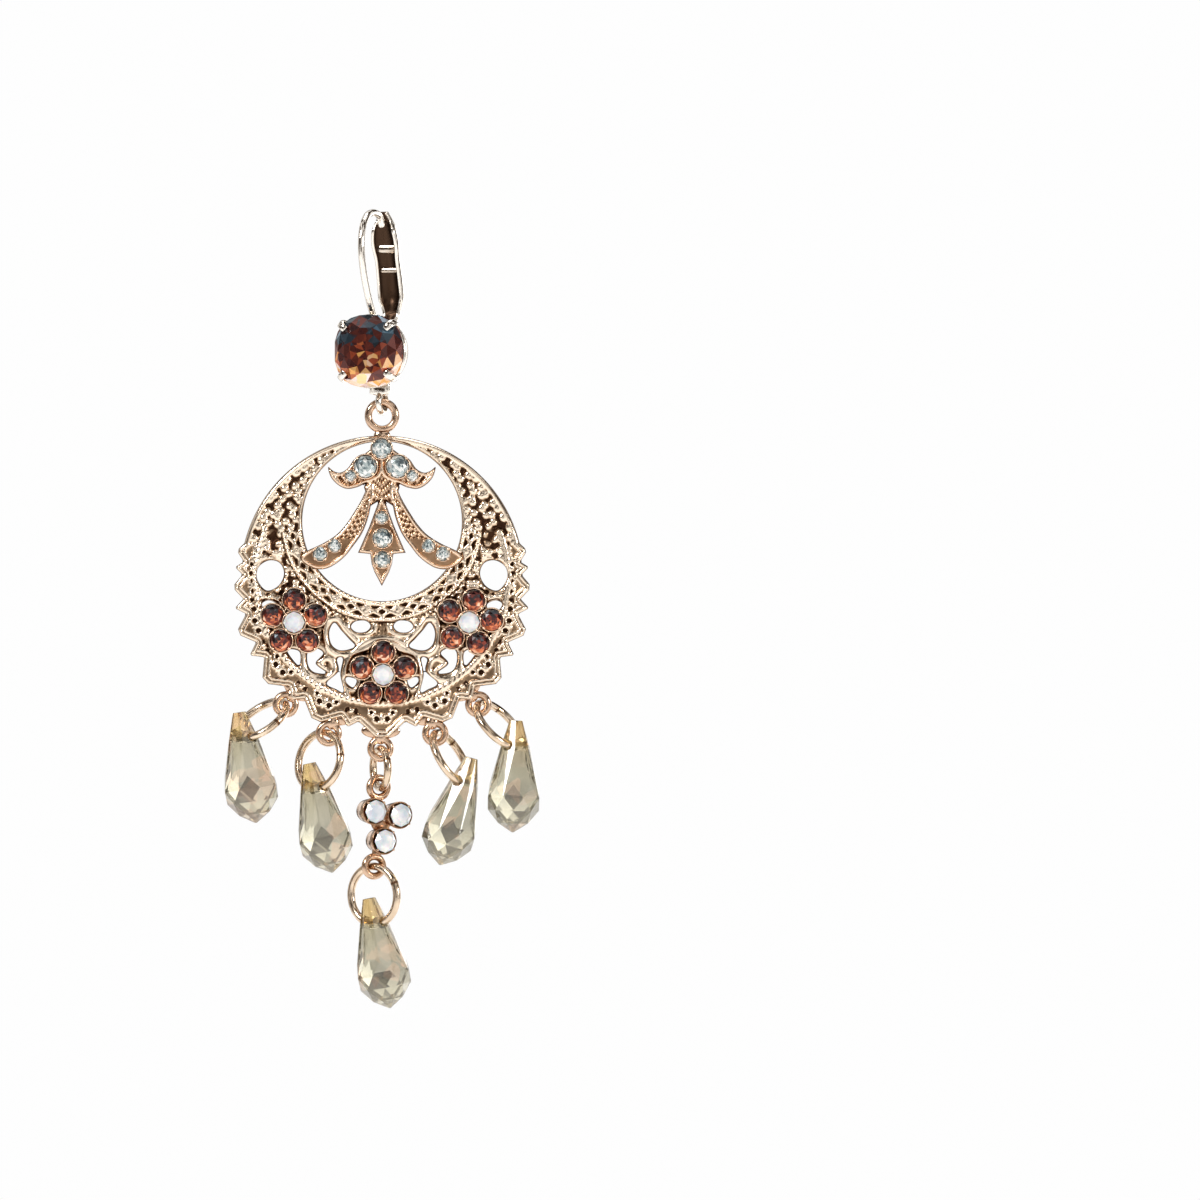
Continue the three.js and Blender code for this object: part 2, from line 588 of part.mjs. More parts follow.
const pendant = new THREE.Group();
pendant.position.set(...FRAME_CENTRE);
pendant.add(piece('crescent_frame', crescentFrame(), COPPERY), trefoil);
for (const { name, x, z, radius } of PALMETTE_STONES) {
  pendant.add(setStone(name, x, PALMETTE_FRONT - SEAT_GAP, z, radius, CLEAR));
}
for (const flower of FLOWERS) pendant.add(...flowerStones(flower));
const centreLug = new THREE.Vector3(LUGS.centre[0], 0, LUGS.centre[1]);
const link = ringPlace(centreLug, 0, LINK_TILT, LINK_RING_R);
const linkRing = wireLoop(link.centre, LINK_RING_R, RING.wire, link.u, link.w);
pendant.add(piece('link_ring', linkRing, METAL));
for (const hanger of HANGERS) pendant.add(...hangerPieces(hanger));

const group = new THREE.Group();
group.add(hook, pendant);
export default group;
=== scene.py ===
import bmesh
import bpy
import numpy as np
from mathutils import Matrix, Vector


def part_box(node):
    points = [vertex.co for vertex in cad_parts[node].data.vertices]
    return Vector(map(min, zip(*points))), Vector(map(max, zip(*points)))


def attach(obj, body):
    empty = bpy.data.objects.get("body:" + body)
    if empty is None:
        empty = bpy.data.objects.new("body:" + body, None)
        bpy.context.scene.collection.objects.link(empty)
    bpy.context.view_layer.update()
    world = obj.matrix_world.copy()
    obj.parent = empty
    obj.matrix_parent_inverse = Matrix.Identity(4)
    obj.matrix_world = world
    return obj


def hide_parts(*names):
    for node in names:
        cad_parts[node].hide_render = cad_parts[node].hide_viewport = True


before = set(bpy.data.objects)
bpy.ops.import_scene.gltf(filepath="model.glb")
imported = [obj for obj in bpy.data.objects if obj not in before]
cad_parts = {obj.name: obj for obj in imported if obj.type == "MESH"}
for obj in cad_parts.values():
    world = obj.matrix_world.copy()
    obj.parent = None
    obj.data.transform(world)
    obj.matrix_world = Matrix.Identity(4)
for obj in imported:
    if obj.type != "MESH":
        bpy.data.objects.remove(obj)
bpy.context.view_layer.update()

# ---- Crescent plate ------------------------------------------------------------------------------
# The pierced crescent is one brass casting about a millimetre thick, rose-gold plated and rubbed
# bright on top, with brown patina left in its hollows. Its field is pebbled, and a roped ring, a
# beaded band, scroll wires and a stepped border stand up from it.

MM = 0.001
RIGHT = np.array([1.0, 0.0, 0.0])
UP = np.array([0.0, 0.0, 1.0])
FRAME_CENTRE = np.array([0.62, 1.9, -42.21])
PLATE_BACK, PLATE_EDGE_BACK, PLATE_LOW, PLATE_TOP = 0.45, 0.2, 0.14, 0.66
OPENING_Z, OPENING_R, BAND_R, BAND_REACH = 6.58, 9.37, 11.83, 84
ROPE_R, ROPE_HALF, ROPE_PITCH, ROPE_REACH = 14.75, 0.46, 0.66, 112
RIM_R, RIM_LINE_R, RIM_FOOT, FIELD_R = 16.65, 16.32, 104.0, 16.05
BEAD_ROWS = [(OPENING_R + 0.32, 0.56), (BAND_R - 0.3, 0.62)]  # radius and pitch
VALLEY_R, LOZENGE_PITCH, BOSS_R, SCROLLS_TOP = 17.2, 3.3, 10.6, -4.4
PLATE_STEP, PLATE_CORNERS = 0.13, ((-18.4, -19.3), (18.4, 17.2))

# heights of the low ground in each zone, and of the foot of all raised work
FIELD_LOW, PLAIN, SCROLL_LOW, BAND_LOW, BORDER_LOW, WORK_FOOT = 0.08, 0.36, 0.12, 0.1, 0.27, 0.3
LEAF_PLACE, BAR_PLACES = (12.7, 4.9), ((12.6, 2.9), (13.3, -2.35))

# radius of the border's large and small points, by their angle from straight down
BORDER_LARGE = {0: 18.8, 24.7: 18.45, 48.5: 18.3, 69: 17.95, 86.3: 17.35, 100.6: 17.15}
BORDER_SMALL = {12.9: 17.9, 36.5: 17.8, 59.5: 17.85, 78.2: 17.5, 94: 17.15}

PIERCINGS = {  # right-hand outlines, across and up from the plate's middle
    "window": [[11.5, 0.4], [12, 1.7], [13.3, 2], [14.5, 1.2], [14.65, -0.2], [13.6, -1.5], [12.2, -1]],
    "window_foot": [[12.3, -3.2], [13.3, -2.7], [14.1, -3.1], [13.6, -3.9], [12.8, -4.1]],
    "oval": [[1.35, -5.7], [1.9, -5.1], [3.1, -5.15], [3.65, -5.8], [3, -6.4], [1.9, -6.35]],
    "kidney": [[5.6, -5.3], [6.2, -6.4], [5.9, -7.9], [4.8, -8.55], [3.2, -8.1], [3.9, -7.2], [4.8, -6.2]],
    "scroll": [[6.9, -8.9], [7.8, -8.3], [8.7, -8.7], [8.7, -10.2], [8, -11.1], [6.5, -11.2], [7.8, -10.1]],
    "corner": [[9.7, -8.7], [11.1, -8.5], [10.5, -9.6], [9.7, -10.3]],
    "tall": [[4.6, -9.5], [5.3, -9.6], [5.1, -11], [6.5, -12.4], [5.4, -13.1], [4.5, -13.4], [4.9, -11.4]],
    "petal_gap": [[3, -12], [4.1, -11.7], [4.2, -12.3], [3.4, -12.9]],
}


def add_piece(name, points, faces, smooth=True, **layers):
    """A new object at the origin from corner points in millimetres and one array of faces.

    Each extra layer is one number a corner, kept as a point attribute of that name.
    """
    mesh = bpy.data.meshes.new(name)
    mesh.from_pydata((np.asarray(points) * MM).tolist(), [], np.asarray(faces).tolist())
    mesh.polygons.foreach_set("use_smooth", np.full(len(mesh.polygons), smooth))
    for layer, values in layers.items():
        mesh.attributes.new(layer, "FLOAT", "POINT").data.foreach_set("value", np.ravel(values))
    mesh.update()
    piece = bpy.data.objects.new(name, mesh)
    bpy.context.scene.collection.objects.link(piece)
    return piece


def full_turn(steps):
    return np.linspace(0, 2 * np.pi, steps, endpoint=False)


def turned(degrees, radius):
    """Points of a circle, by the angle from straight down, positive to the right."""
    angle = np.radians(degrees)
    return np.stack([radius * np.sin(angle), -radius * np.cos(angle)], axis=-1)


def catmull_rom(p0, p1, p2, p3, per_side):
    """Points from each p1 towards p2 on the cubic that those two corners and their neighbours set."""
    t = np.linspace(0, 1, per_side, endpoint=False)[None, :, None]
    cubic = 3 * (p1 - p2) + p3 - p0
    line = 2 * p1 + (p2 - p0) * t + (2 * p0 - 5 * p1 + 4 * p2 - p3) * t**2 + cubic * t**3
    return (line / 2).reshape(-1, p1.shape[-1])


def smooth_outline(corners, per_side=5):
    """A closed smooth line through the corners."""
    p1 = np.asarray(corners, float)[:, None]
    p0, p2, p3 = (np.roll(p1, k, axis=0) for k in (1, -1, -2))
    return catmull_rom(p0, p1, p2, p3, per_side)


def mirrored(corners, side):
    return np.asarray(corners) * [side, 1]


def side_gap(x, z, start, end):
    """Distance from each point to a straight side."""
    (ax, az), (bx, bz) = start, end
    along = ((x - ax) * (bx - ax) + (z - az) * (bz - az)) / ((bx - ax) ** 2 + (bz - az) ** 2)
    along = np.clip(along, 0, 1)
    return np.hypot(x - ax - along * (bx - ax), z - az - along * (bz - az))


def depth_inside(x, z, outline):
    """Distance from each point to the nearest side of a closed outline, positive inside it."""
    starts = np.asarray(outline, float)
    nearest = np.full(x.shape, 1e9)
    inside = np.zeros(x.shape, bool)
    for (ax, az), (bx, bz) in zip(starts, np.roll(starts, -1, axis=0)):
        nearest = np.minimum(nearest, side_gap(x, z, (ax, az), (bx, bz)))
        if az != bz:
            inside ^= ((az > z) != (bz > z)) & (x < (bx - ax) * (z - az) / (bz - az) + ax)
    return np.where(inside, nearest, -nearest)


def border_outline():
    """The casting's outer line: stepped points below, each pair parted by a valley, and the round rim."""
    points = []
    for angle, tip in {**BORDER_LARGE, **BORDER_SMALL}.items():
        large = angle in BORDER_LARGE
        foot = 2.5 - 0.009 * angle if large else 1.0
        flat = 0.75 - 0.005 * angle if large else 0.12
        points += [(side * angle, tip, foot, flat) for side in {1, -1 if angle else 1}]
    points.sort()
    line = []
    for here, after in zip(points, points[1:] + [None]):
        angle, tip, foot, flat = here
        line += [turned(angle - np.degrees(flat / tip), tip), turned(angle + np.degrees(flat / tip), tip)]
        if after:
            valley = angle + (after[0] - angle) * foot / (foot + after[2])
            line.append(turned(valley, VALLEY_R - 0.009 * abs(valley)))
    arc = turned(np.linspace(RIM_FOOT, 360 - RIM_FOOT, 90), RIM_R)
    return np.vstack([line, arc])


BORDER = border_outline()
HOLE_LINES = [smooth_outline(mirrored(line, side)) for line in PIERCINGS.values() for side in (-1, 1)]


def plate_metal(x, z):
    """Distance into the metal: the least of the depth inside the border and outside each piercing."""
    metal = np.minimum(depth_inside(x, z, BORDER), np.hypot(x, z - OPENING_Z) - OPENING_R)
    for line in HOLE_LINES:
        metal = np.minimum(metal, -depth_inside(x, z, line))
    return metal


def ridge(offset, half_width):
    """A half-round bar's height across it, from 0 at its edges to 1 on its middle line."""
    return np.sqrt(np.clip(1 - (offset / half_width) ** 2, 0, 1))


def wave(length, pitch):
    """A triangle wave of the given pitch that runs from -1 to 1."""
    return 4 * np.abs((length / pitch) % 1 - 0.5) - 1


def line_gap(x, z, path):
    """Distance from each point to an open line: the least distance to any of its stretches."""
    nearest = np.full(x.shape, 1e9)
    for start, end in zip(path[:-1], path[1:]):
        nearest = np.minimum(nearest, side_gap(x, z, start, end))
    return nearest


def smooth_path(corners, per_side=6):
    """An open smooth line through the corners, with each end corner counted twice."""
    held = np.vstack([corners[:1], corners, corners[-1:]]).astype(float)
    line = catmull_rom(*(held[k:len(held) - 3 + k, None] for k in range(4)), per_side)
    return np.vstack([line, held[-1:]])


def pebbles(u, v, seed):
    """Rounded grains: every unit square holds one seeded point, and each point's grain is a dome
    over the distance to the nearest of them."""
    nearest = np.full(u.shape, 9.0)
    for du in (-1, 0, 1):
        for dv in (-1, 0, 1):
            cell_u, cell_v = np.floor(u) + du, np.floor(v) + dv
            push_u = (np.sin(127.1 * cell_u + 311.7 * cell_v + seed) * 43758.5453) % 1
            push_v = (np.sin(269.5 * cell_u + 183.3 * cell_v + seed) * 43758.5453) % 1
            gap = np.hypot(u - cell_u - 0.2 - 0.6 * push_u, v - cell_v - 0.2 - 0.6 * push_v)
            nearest = np.minimum(nearest, gap)
    return np.sqrt(np.clip(1 - (nearest / 0.58) ** 2, 0, 1))


SCROLLS = [  # middle lines of the right-hand scroll wires
    [(6.44, -4.78), (6.67, -6.73), (6.32, -8.14), (5.52, -8.95), (4.13, -9.06), (2.86, -8.71),
     (1.58, -8.14), (0.77, -7.55)],
    [(6.1, -4.9), (5.18, -4.9), (4.47, -5.82), (3.9, -6.52), (2.97, -7.44)],
    [(3.78, -4.78), (1.12, -5.0), (1.0, -6.3), (2.2, -6.8), (3.43, -6.5), (4.1, -5.7)],
    [(9.33, -8.71), (9.22, -10.46), (8.54, -11.6), (7.37, -12.0), (6.1, -11.72), (5.52, -10.8),
     (5.87, -9.75), (6.67, -9.53), (7.37, -10.1), (6.79, -10.68)],
]
SCROLL_LINES = [smooth_path(mirrored(line, side), 4) for line in SCROLLS for side in (-1, 1)]
FLOWER_RING, FLOWER_RING_R = (0.1, -11.7), 4.55


BORDER_CURLS = [(0.62, 2.2, 0.44), (1.25, 2.9, 0.36)]  # across, down from the tip, and radius
LEAF_DOWN, SQUARE_DOWN, SQUARE_HALF = 2.3, 1.9, 0.27


def border_relief(radius, angle, inside):
    """The border's chasing over its low ground: two lines that repeat its outline, a leaf between two
    curls in each large point, and a raised square in each small one. Pits are sunk beside them."""
    nested = np.maximum(ridge(inside - 0.2, 0.21), 0.8 * ridge(inside - 0.68, 0.15))
    pits = np.zeros(radius.shape)
    for centre, tip in BORDER_LARGE.items():
        across = np.abs(radius * np.radians(np.abs(angle) - centre))
        down = tip - radius
        for side, low, size in BORDER_CURLS:
            gap = np.hypot(across - side, down - low)
            nested = np.maximum(nested, 0.75 * ridge(gap - size, 0.15) * (inside > 0.6))
            pits = np.maximum(pits, np.clip(1.3 - gap / (size - 0.14), 0, 1))
        nested = np.maximum(nested, 0.85 * ridge(np.hypot(across / 0.2, (down - LEAF_DOWN) / 0.75), 1))
    for centre, tip in BORDER_SMALL.items():
        across = np.abs(radius * np.radians(np.abs(angle) - centre))
        down = tip - radius
        off_square = np.abs(down - SQUARE_DOWN)
        nested = np.maximum(nested, np.maximum(across, off_square) < SQUARE_HALF)
        pits = np.maximum(pits, (np.abs(across - 0.55) < 0.16) & (off_square < 0.3))
    return nested, pits


def plate_relief(x, z, metal):
    """Front height over the plate's middle: a domed edge, plus whichever raised work stands highest."""
    radius = np.hypot(x, z)
    angle = np.degrees(np.arctan2(x, -z))
    arc = radius * np.radians(angle)
    from_opening = np.hypot(x, z - OPENING_Z)
    opening_angle = np.degrees(np.arctan2(x, OPENING_Z - z))
    dome = np.sqrt(1 - (1 - np.clip(metal / 0.4, 0, 1)) ** 2)

    grain = pebbles(radius / 0.9, ROPE_R * np.radians(angle) / 1.05, 1.0)
    chased = (metal > 0.25) & (radius < FIELD_R) & (from_opening > OPENING_R + 0.5)
    lower = (z < SCROLLS_TOP) & (radius < ROPE_R - 0.3) & (from_opening > BAND_R)
    height = np.where(chased, FIELD_LOW + 0.42 * grain, PLAIN)
    wires = np.abs(np.hypot(x - FLOWER_RING[0], z - FLOWER_RING[1]) - FLOWER_RING_R)
    for line in SCROLL_LINES:
        wires = np.minimum(wires, line_gap(x, z, line))
    edge = 0.3 * ridge(metal - 0.3, 0.3)
    scroll = SCROLL_LOW + np.maximum(edge, 0.42 * ridge(wires, 0.42))
    height = np.where(lower, np.maximum(scroll, SCROLL_LOW + 0.2 * grain), height)

    rope_offset = radius - ROPE_R
    twist = np.cos(2 * np.pi * (arc / ROPE_PITCH + 0.8 * rope_offset))
    rope = np.where(np.abs(angle) < ROPE_REACH, ridge(rope_offset, ROPE_HALF) * (0.3 + 0.09 * twist), 0)
    rim = np.where(np.abs(angle) > RIM_FOOT - 2, 0.3 * ridge(radius - RIM_LINE_R, 0.34), 0)
    lip = np.where(np.abs(opening_angle) > 80, 0.2 * ridge(from_opening - OPENING_R - 0.24, 0.24), 0)

    on_band = (np.abs(opening_angle) < BAND_REACH) & (from_opening < BAND_R + 0.1)
    run = OPENING_R * np.radians(opening_angle)
    beads = np.zeros(x.shape)
    for bead_r, pitch in BEAD_ROWS:
        bead = 0.28 + 0.1 * np.cos(2 * np.pi * run / pitch)
        beads = np.maximum(beads, bead * ridge(from_opening - bead_r, 0.3))
    lozenge = np.zeros(x.shape)
    for side in (-1, 1):
        line = from_opening - (OPENING_R + BAND_R) / 2 - side * 0.5 * wave(run, LOZENGE_PITCH)
        lozenge = np.maximum(lozenge, 0.26 * ridge(line, 0.26))
    along = LOZENGE_PITCH * ((run / LOZENGE_PITCH) % 1 - 0.5)
    boss = 0.3 * ridge(np.hypot(from_opening - BOSS_R, along), 0.34)
    band = np.where(on_band, np.maximum.reduce([beads, lozenge, boss]), 0)
    height = np.where(on_band, BAND_LOW, height)

    border = (radius > ROPE_R + ROPE_HALF) & (np.abs(angle) < RIM_FOOT)
    nested, pits = border_relief(radius, angle, depth_inside(x, z, BORDER))
    height = np.where(border, BORDER_LOW - 0.2 * pits, height)
    nested = np.where(border, 0.3 * nested, 0)
    for side in (-1, 1):
        leaf_x, leaf_z = side * x - LEAF_PLACE[0], z - LEAF_PLACE[1]
        leaf = np.hypot((leaf_x - 0.35 * leaf_z) / 0.6, leaf_z / 1.05)
        height = height - 0.32 * np.clip(1.3 - leaf, 0, 1)
        for bar_x, bar_z in BAR_PLACES:
            bar = np.hypot((side * x - bar_x) / 1.4, (z - bar_z - 0.3 * (side * x - bar_x)) / 0.42)
            height = height + 0.28 * np.sqrt(np.clip(1 - bar**2, 0, 1))

    raised = np.maximum.reduce([rope, rim, lip, band, nested])
    height = np.maximum(height, np.where(raised > 0.02, WORK_FOOT + raised, 0))
    return PLATE_LOW + (np.clip(height, 0.02, PLATE_TOP) - PLATE_LOW) * dome


def relief_solid(metal_at, height_at, corners, step, back):
    """A pierced plate with a chased front.

    Grid squares with a corner in the metal are kept, and their outer corners slide down the
    distance's slope onto its zero line. The front stands at minus the height, the back is flat with
    an edge rounded from back[0] to back[1], and walls join them. Returns points, four-sided faces and
    each point's hollow.
    """
    x, z = np.meshgrid(*(np.arange(low, high, step) for low, high in zip(*corners)))
    metal = metal_at(x, z)
    solid = metal > 0
    kept = solid[:-1, :-1] | solid[:-1, 1:] | solid[1:, :-1] | solid[1:, 1:]
    index = np.arange(x.size).reshape(x.shape)
    squares = np.stack([index[:-1, :-1], index[:-1, 1:], index[1:, 1:], index[1:, :-1]], axis=-1)[kept]
    used, squares = np.unique(squares, return_inverse=True)
    squares = squares.reshape(-1, 4)
    x, z, metal = x.ravel()[used], z.ravel()[used], metal.ravel()[used]
    outer = metal <= 0
    for _ in range(3):
        px, pz = x[outer], z[outer]
        here = metal_at(px, pz)
        slope_x = (metal_at(px + 0.01, pz) - here) / 0.01
        slope_z = (metal_at(px, pz + 0.01) - here) / 0.01
        steep = np.maximum(slope_x**2 + slope_z**2, 0.3)
        x[outer] = px - here * slope_x / steep
        z[outer] = pz - here * slope_z / steep
    metal = np.where(outer, 0, metal)
    height = height_at(x, z, metal)
    rounded = np.sqrt(1 - (1 - np.clip(metal / 0.3, 0, 1)) ** 2)
    count = len(x)
    front = np.stack([x, -height, z], axis=-1)
    rear = np.stack([x, back[0] + (back[1] - back[0]) * rounded, z], axis=-1)
    edges = np.concatenate([squares[:, [i, (i + 1) % 4]] for i in range(4)])
    key = np.sort(edges, axis=1) @ [count, 1]
    _, first, times = np.unique(key, return_index=True, return_counts=True)
    rim = edges[first[times == 1]]
    walls = np.stack([rim[:, 1], rim[:, 0], rim[:, 0] + count, rim[:, 1] + count], axis=-1)
    faces = np.concatenate([squares, squares[:, ::-1] + count, walls])
    hollow = np.concatenate([1 - np.clip((height - 0.1) / 0.34, 0, 1), np.full(count, 0.3)])
    return np.concatenate([front, rear]), faces, hollow


def fill(tree, node, inputs):
    """Sets a node's inputs: a socket is linked, and any other value is put straight on the input."""
    for key, value in inputs.items():
        if isinstance(value, bpy.types.NodeSocket):
            tree.links.new(value, node.inputs[key])
        else:
            node.inputs[key].default_value = value


def add_node(tree, kind, inputs, output=0, **settings):
    """Adds a shader node with its settings and inputs, and returns one of its output sockets."""
    node = tree.nodes.new("ShaderNode" + kind)
    for setting, value in settings.items():
        setattr(node, setting, value)
    fill(tree, node, inputs)
    return node.outputs[output]


def add_ramp(tree, factor, stops):
    """A colour ramp steered by a socket, through stops of place and colour from low to high."""
    node = tree.nodes.new("ShaderNodeValToRGB")
    tree.links.new(factor, node.inputs["Fac"])
    elements = node.color_ramp.elements
    for element, (place, colour) in zip(elements, (stops[0], stops[-1])):
        element.position, element.color = place, (*colour, 1)
    for place, colour in stops[1:-1]:
        elements.new(place).color = (*colour, 1)
    return node.outputs["Color"]


def new_material(name):
    """A new material: itself, its node tree, and the place of each point on the object."""
    material = bpy.data.materials.new(name)
    material.use_nodes = True
    tree = material.node_tree
    return material, tree, add_node(tree, "TexCoord", {}, "Object")


def cast_metal(name, bright, deep, roughness):
    """Plated cast metal: bright on the raised work, brown in the hollows, softly worn between."""
    material, tree, place = new_material(name)
    hollow = add_node(tree, "Attribute", {}, "Fac", attribute_name="hollow")
    cloud = add_node(tree, "TexNoise", {"Scale": 420.0, "Detail": 4.0, "Vector": place}, "Fac")
    patina = add_node(tree, "Math", {0: cloud, 1: 0.5, 2: hollow}, operation="MULTIPLY_ADD")
    worn = 0.5 * np.array(bright) * [1, 0.8, 0.62]
    gloss = add_node(tree, "MapRange", {"Value": patina, "From Min": 0.2, "From Max": 1.2,
                                        "To Min": roughness, "To Max": roughness + 0.3})
    grain = add_node(tree, "TexNoise", {"Scale": 2600.0, "Detail": 3.0, "Vector": place}, "Fac")
    fill(tree, tree.nodes["Principled BSDF"], {
        "Metallic": 1.0, "Roughness": gloss,
        "Base Color": add_ramp(tree, patina, [(0.3, bright), (0.64, worn), (0.92, deep)]),
        "Normal": add_node(tree, "Bump", {"Strength": 0.25, "Distance": 0.00006, "Height": grain})})
    return material


FRAME_METAL = cast_metal("chased_frame_metal", (1.0, 0.84, 0.67), (0.05, 0.022, 0.012), 0.13)


def finish_piece(piece, material, body, slot, *replaced):
    piece.data.materials.append(material)
    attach(piece, body)
    if replaced:
        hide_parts(*replaced)


points, faces, hollow = relief_solid(
    plate_metal, plate_relief, PLATE_CORNERS, PLATE_STEP, (PLATE_EDGE_BACK, PLATE_BACK))
plate = add_piece("crescent_plate", points + FRAME_CENTRE, faces, hollow=hollow)
finish_piece(plate, FRAME_METAL, "pendant", "frame_metal", "crescent_frame")

# ---- Palmette ------------------------------------------------------------------------------------
# A second casting soldered across the opening: two wings, two pebbled ribbons and a pointed dart.
# It is plated rosier than the crescent, and its edges carry a fine raised line.

PALMETTE_LOW, PALMETTE_TOP, PALMETTE_BACK = 0.75, 1.28, (-0.45, -0.32)
PALMETTE_STEP, PALMETTE_CORNERS = 0.1, ((-10.1, -1.4), (10.1, 16.6))
PATINA_BELOW, PATINA_FADE = 0.95, 0.3
WING = [
    [0.0, 16.2], [1.0, 15.3], [1.9, 14.6], [3.2, 13.9], [4.0, 12.8], [4.9, 12.3], [5.7, 12.5],
    [6.3, 12.95], [6.0, 11.8], [5.2, 10.9], [4.2, 10.4], [3.2, 10.5], [2.2, 10.9], [0.0, 12.2],
]
RIBBON = [
    [1.2, 11.2], [1.75, 10.5], [2.4, 9.1], [3.35, 7.5], [4.3, 6.1], [5.4, 4.95], [7.0, 3.95], [8.8, 3.1],
    [9.5, 2.4], [9.1, 1.65], [7.8, 1.0], [6.5, 1.05], [5.4, 1.6], [4.3, 2.5], [3.35, 3.7], [2.3, 5.2],
    [1.6, 7.0], [1.25, 8.6], [0.9, 10.0],
]
STEM = [[0, 13.6], [0.9, 13.0], [1.5, 11.8], [2.1, 10.6], [1.7, 9.3], [1.3, 8.4], [0, 9.2]]
DART = [[0, 9.6], [0.5, 8.6], [1.5, 5.9], [2.8, 2.9], [1.35, 2.75], [1.2, 1.6], [0.85, 0.6], [0, -1.0]]


def both_sides(half):
    """An outline closed about the middle line, on which its right half starts and ends."""
    half = np.asarray(half, float)
    return np.vstack([half, mirrored(half[-2:0:-1], -1)])


PALMETTE_LINES = [
    *(smooth_outline(mirrored(line, side), 4) for line in (WING, RIBBON) for side in (-1, 1)),
    both_sides(STEM), both_sides(DART),
]


def palmette_metal(x, z):
    """Distance into the palmette: the greatest depth inside any of its leaves."""
    return np.maximum.reduce([depth_inside(x, z, line) for line in PALMETTE_LINES])


def palmette_relief(x, z, metal):
    """Height over the plate's middle: a raised edge line, and rows of pits along the ribbons."""
    ribbons = np.maximum(*(depth_inside(x, z, line) for line in PALMETTE_LINES[2:4]))
    dart = depth_inside(x, z, PALMETTE_LINES[5])
    wings = np.maximum(*(depth_inside(x, z, line) for line in PALMETTE_LINES[:2]))
    along = z + 0.9 * np.abs(x)
    rows = np.cos(2 * np.pi * ribbons / 0.62) * np.cos(2 * np.pi * (z - 0.55 * np.abs(x)) / 0.85)
    height = np.full(x.shape, PALMETTE_TOP - 0.16)
    height = height + np.where((ribbons > 0.3) & (dart < 0) & (z > 4.6), 0.13 * rows, 0)
    stem = (z > 8.2) & (z < 12.6) & (dart < 0.25)
    lines = np.cos(2 * np.pi * x / (0.42 + 0.05 * (12.6 - z))) * np.cos(2 * np.pi * along / 0.9)
    height = height + np.where(stem, 0.12 * lines, 0)
    tip = (wings > 0.1) & (np.abs(x) > 4.1)
    height = height + np.where(tip, 0.1 * np.cos(2 * np.pi * (np.abs(x) - z) / 0.8), 0)
    edge = np.maximum.reduce([ridge(leaf - 0.2, 0.2) for leaf in (ribbons, dart, wings)])
    height = np.maximum(height, (PALMETTE_TOP + 0.04) * (edge > 0) * (0.86 + 0.14 * edge))
    groove = ridge(np.abs(dart + 0.12), 0.16) * (z < 9)
    height = height - 0.22 * groove
    dome = np.sqrt(1 - (1 - np.clip(metal / 0.3, 0, 1)) ** 2)
    return PALMETTE_LOW + (height - PALMETTE_LOW) * dome


PALMETTE_METAL = cast_metal("palmette_metal", (1.0, 0.76, 0.57), (0.09, 0.035, 0.015), 0.16)
points, faces, hollow = relief_solid(
    palmette_metal, palmette_relief, PALMETTE_CORNERS, PALMETTE_STEP, PALMETTE_BACK)
fronts = len(points) // 2
hollow[:fronts] = 1 - np.clip((-points[:fronts, 1] - PATINA_BELOW) / PATINA_FADE, 0, 1)
palmette = add_piece("palmette", points + FRAME_CENTRE, faces, hollow=hollow)
finish_piece(palmette, PALMETTE_METAL, "pendant", "frame_metal", "crescent_frame")

# ---- Stone settings ------------------------------------------------------------------------------
# Every small stone sits in a thin turned cup with four beads of metal pushed over its edge.
# The cups are soldered to the casting before it is plated.

SETTING = [  # reach as a share of the stone's radius, and height over the stone's back
    (1.0, -1.1), (1.15, -0.9), (1.17, -0.2), (1.15, 0.16), (1.08, 0.24), (1.03, 0.16), (1.02, -0.05),
    (0.9, -0.1), (0.0, -0.12),
]


BEAD_SHARE, BEAD_R = 1.04, 0.2


def stone_places(prefixes):
    """Centre, radius and back height of each small stone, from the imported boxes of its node."""
    rows = []
    for name in sorted(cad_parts):
        if name.startswith(prefixes):
            low, high = (np.array(corner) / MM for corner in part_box(name))
            rows.append([*((low + high) / 2)[[0, 2]], (high[0] - low[0]) / 2, high[1]])
    return np.array(rows)


def grid_faces(rows, columns, close_rows, close_columns, copies=1):
    """Four-sided faces of a numbered grid of points, row by row, which may close on itself either way,
    for as many copies as stand after one another."""
    index = np.arange(rows * columns).reshape(rows, columns)
    after = np.roll(index, -1, axis=0)
    faces = np.stack([index, after, np.roll(after, -1, axis=1), np.roll(index, -1, axis=1)], axis=-1)
    faces = faces[:rows if close_rows else rows - 1, :columns if close_columns else columns - 1]
    return (faces.reshape(-1, 4) + (np.arange(copies) * rows * columns)[:, None, None]).reshape(-1, 4)


def setting_cups(places, turns=24):
    """Turned cups: the profile goes round each stone's axis, and its height runs to the front."""
    reach, rise = np.array(SETTING).T
    angle = full_turn(turns)
    x0, z0, radius, back = places.T[:, :, None, None]
    x = x0 + radius * reach * np.cos(angle)[:, None]
    z = z0 + radius * reach * np.sin(angle)[:, None]
    y = np.broadcast_to(back - rise, x.shape)
    points = np.stack([x, y, z], axis=-1).reshape(-1, 3)
    hollow = 1 - np.clip((rise + 0.5) / 0.55, 0, 1)
    faces = grid_faces(turns, len(reach), True, False, len(places))
    return points, faces, np.tile(hollow, len(places) * turns)


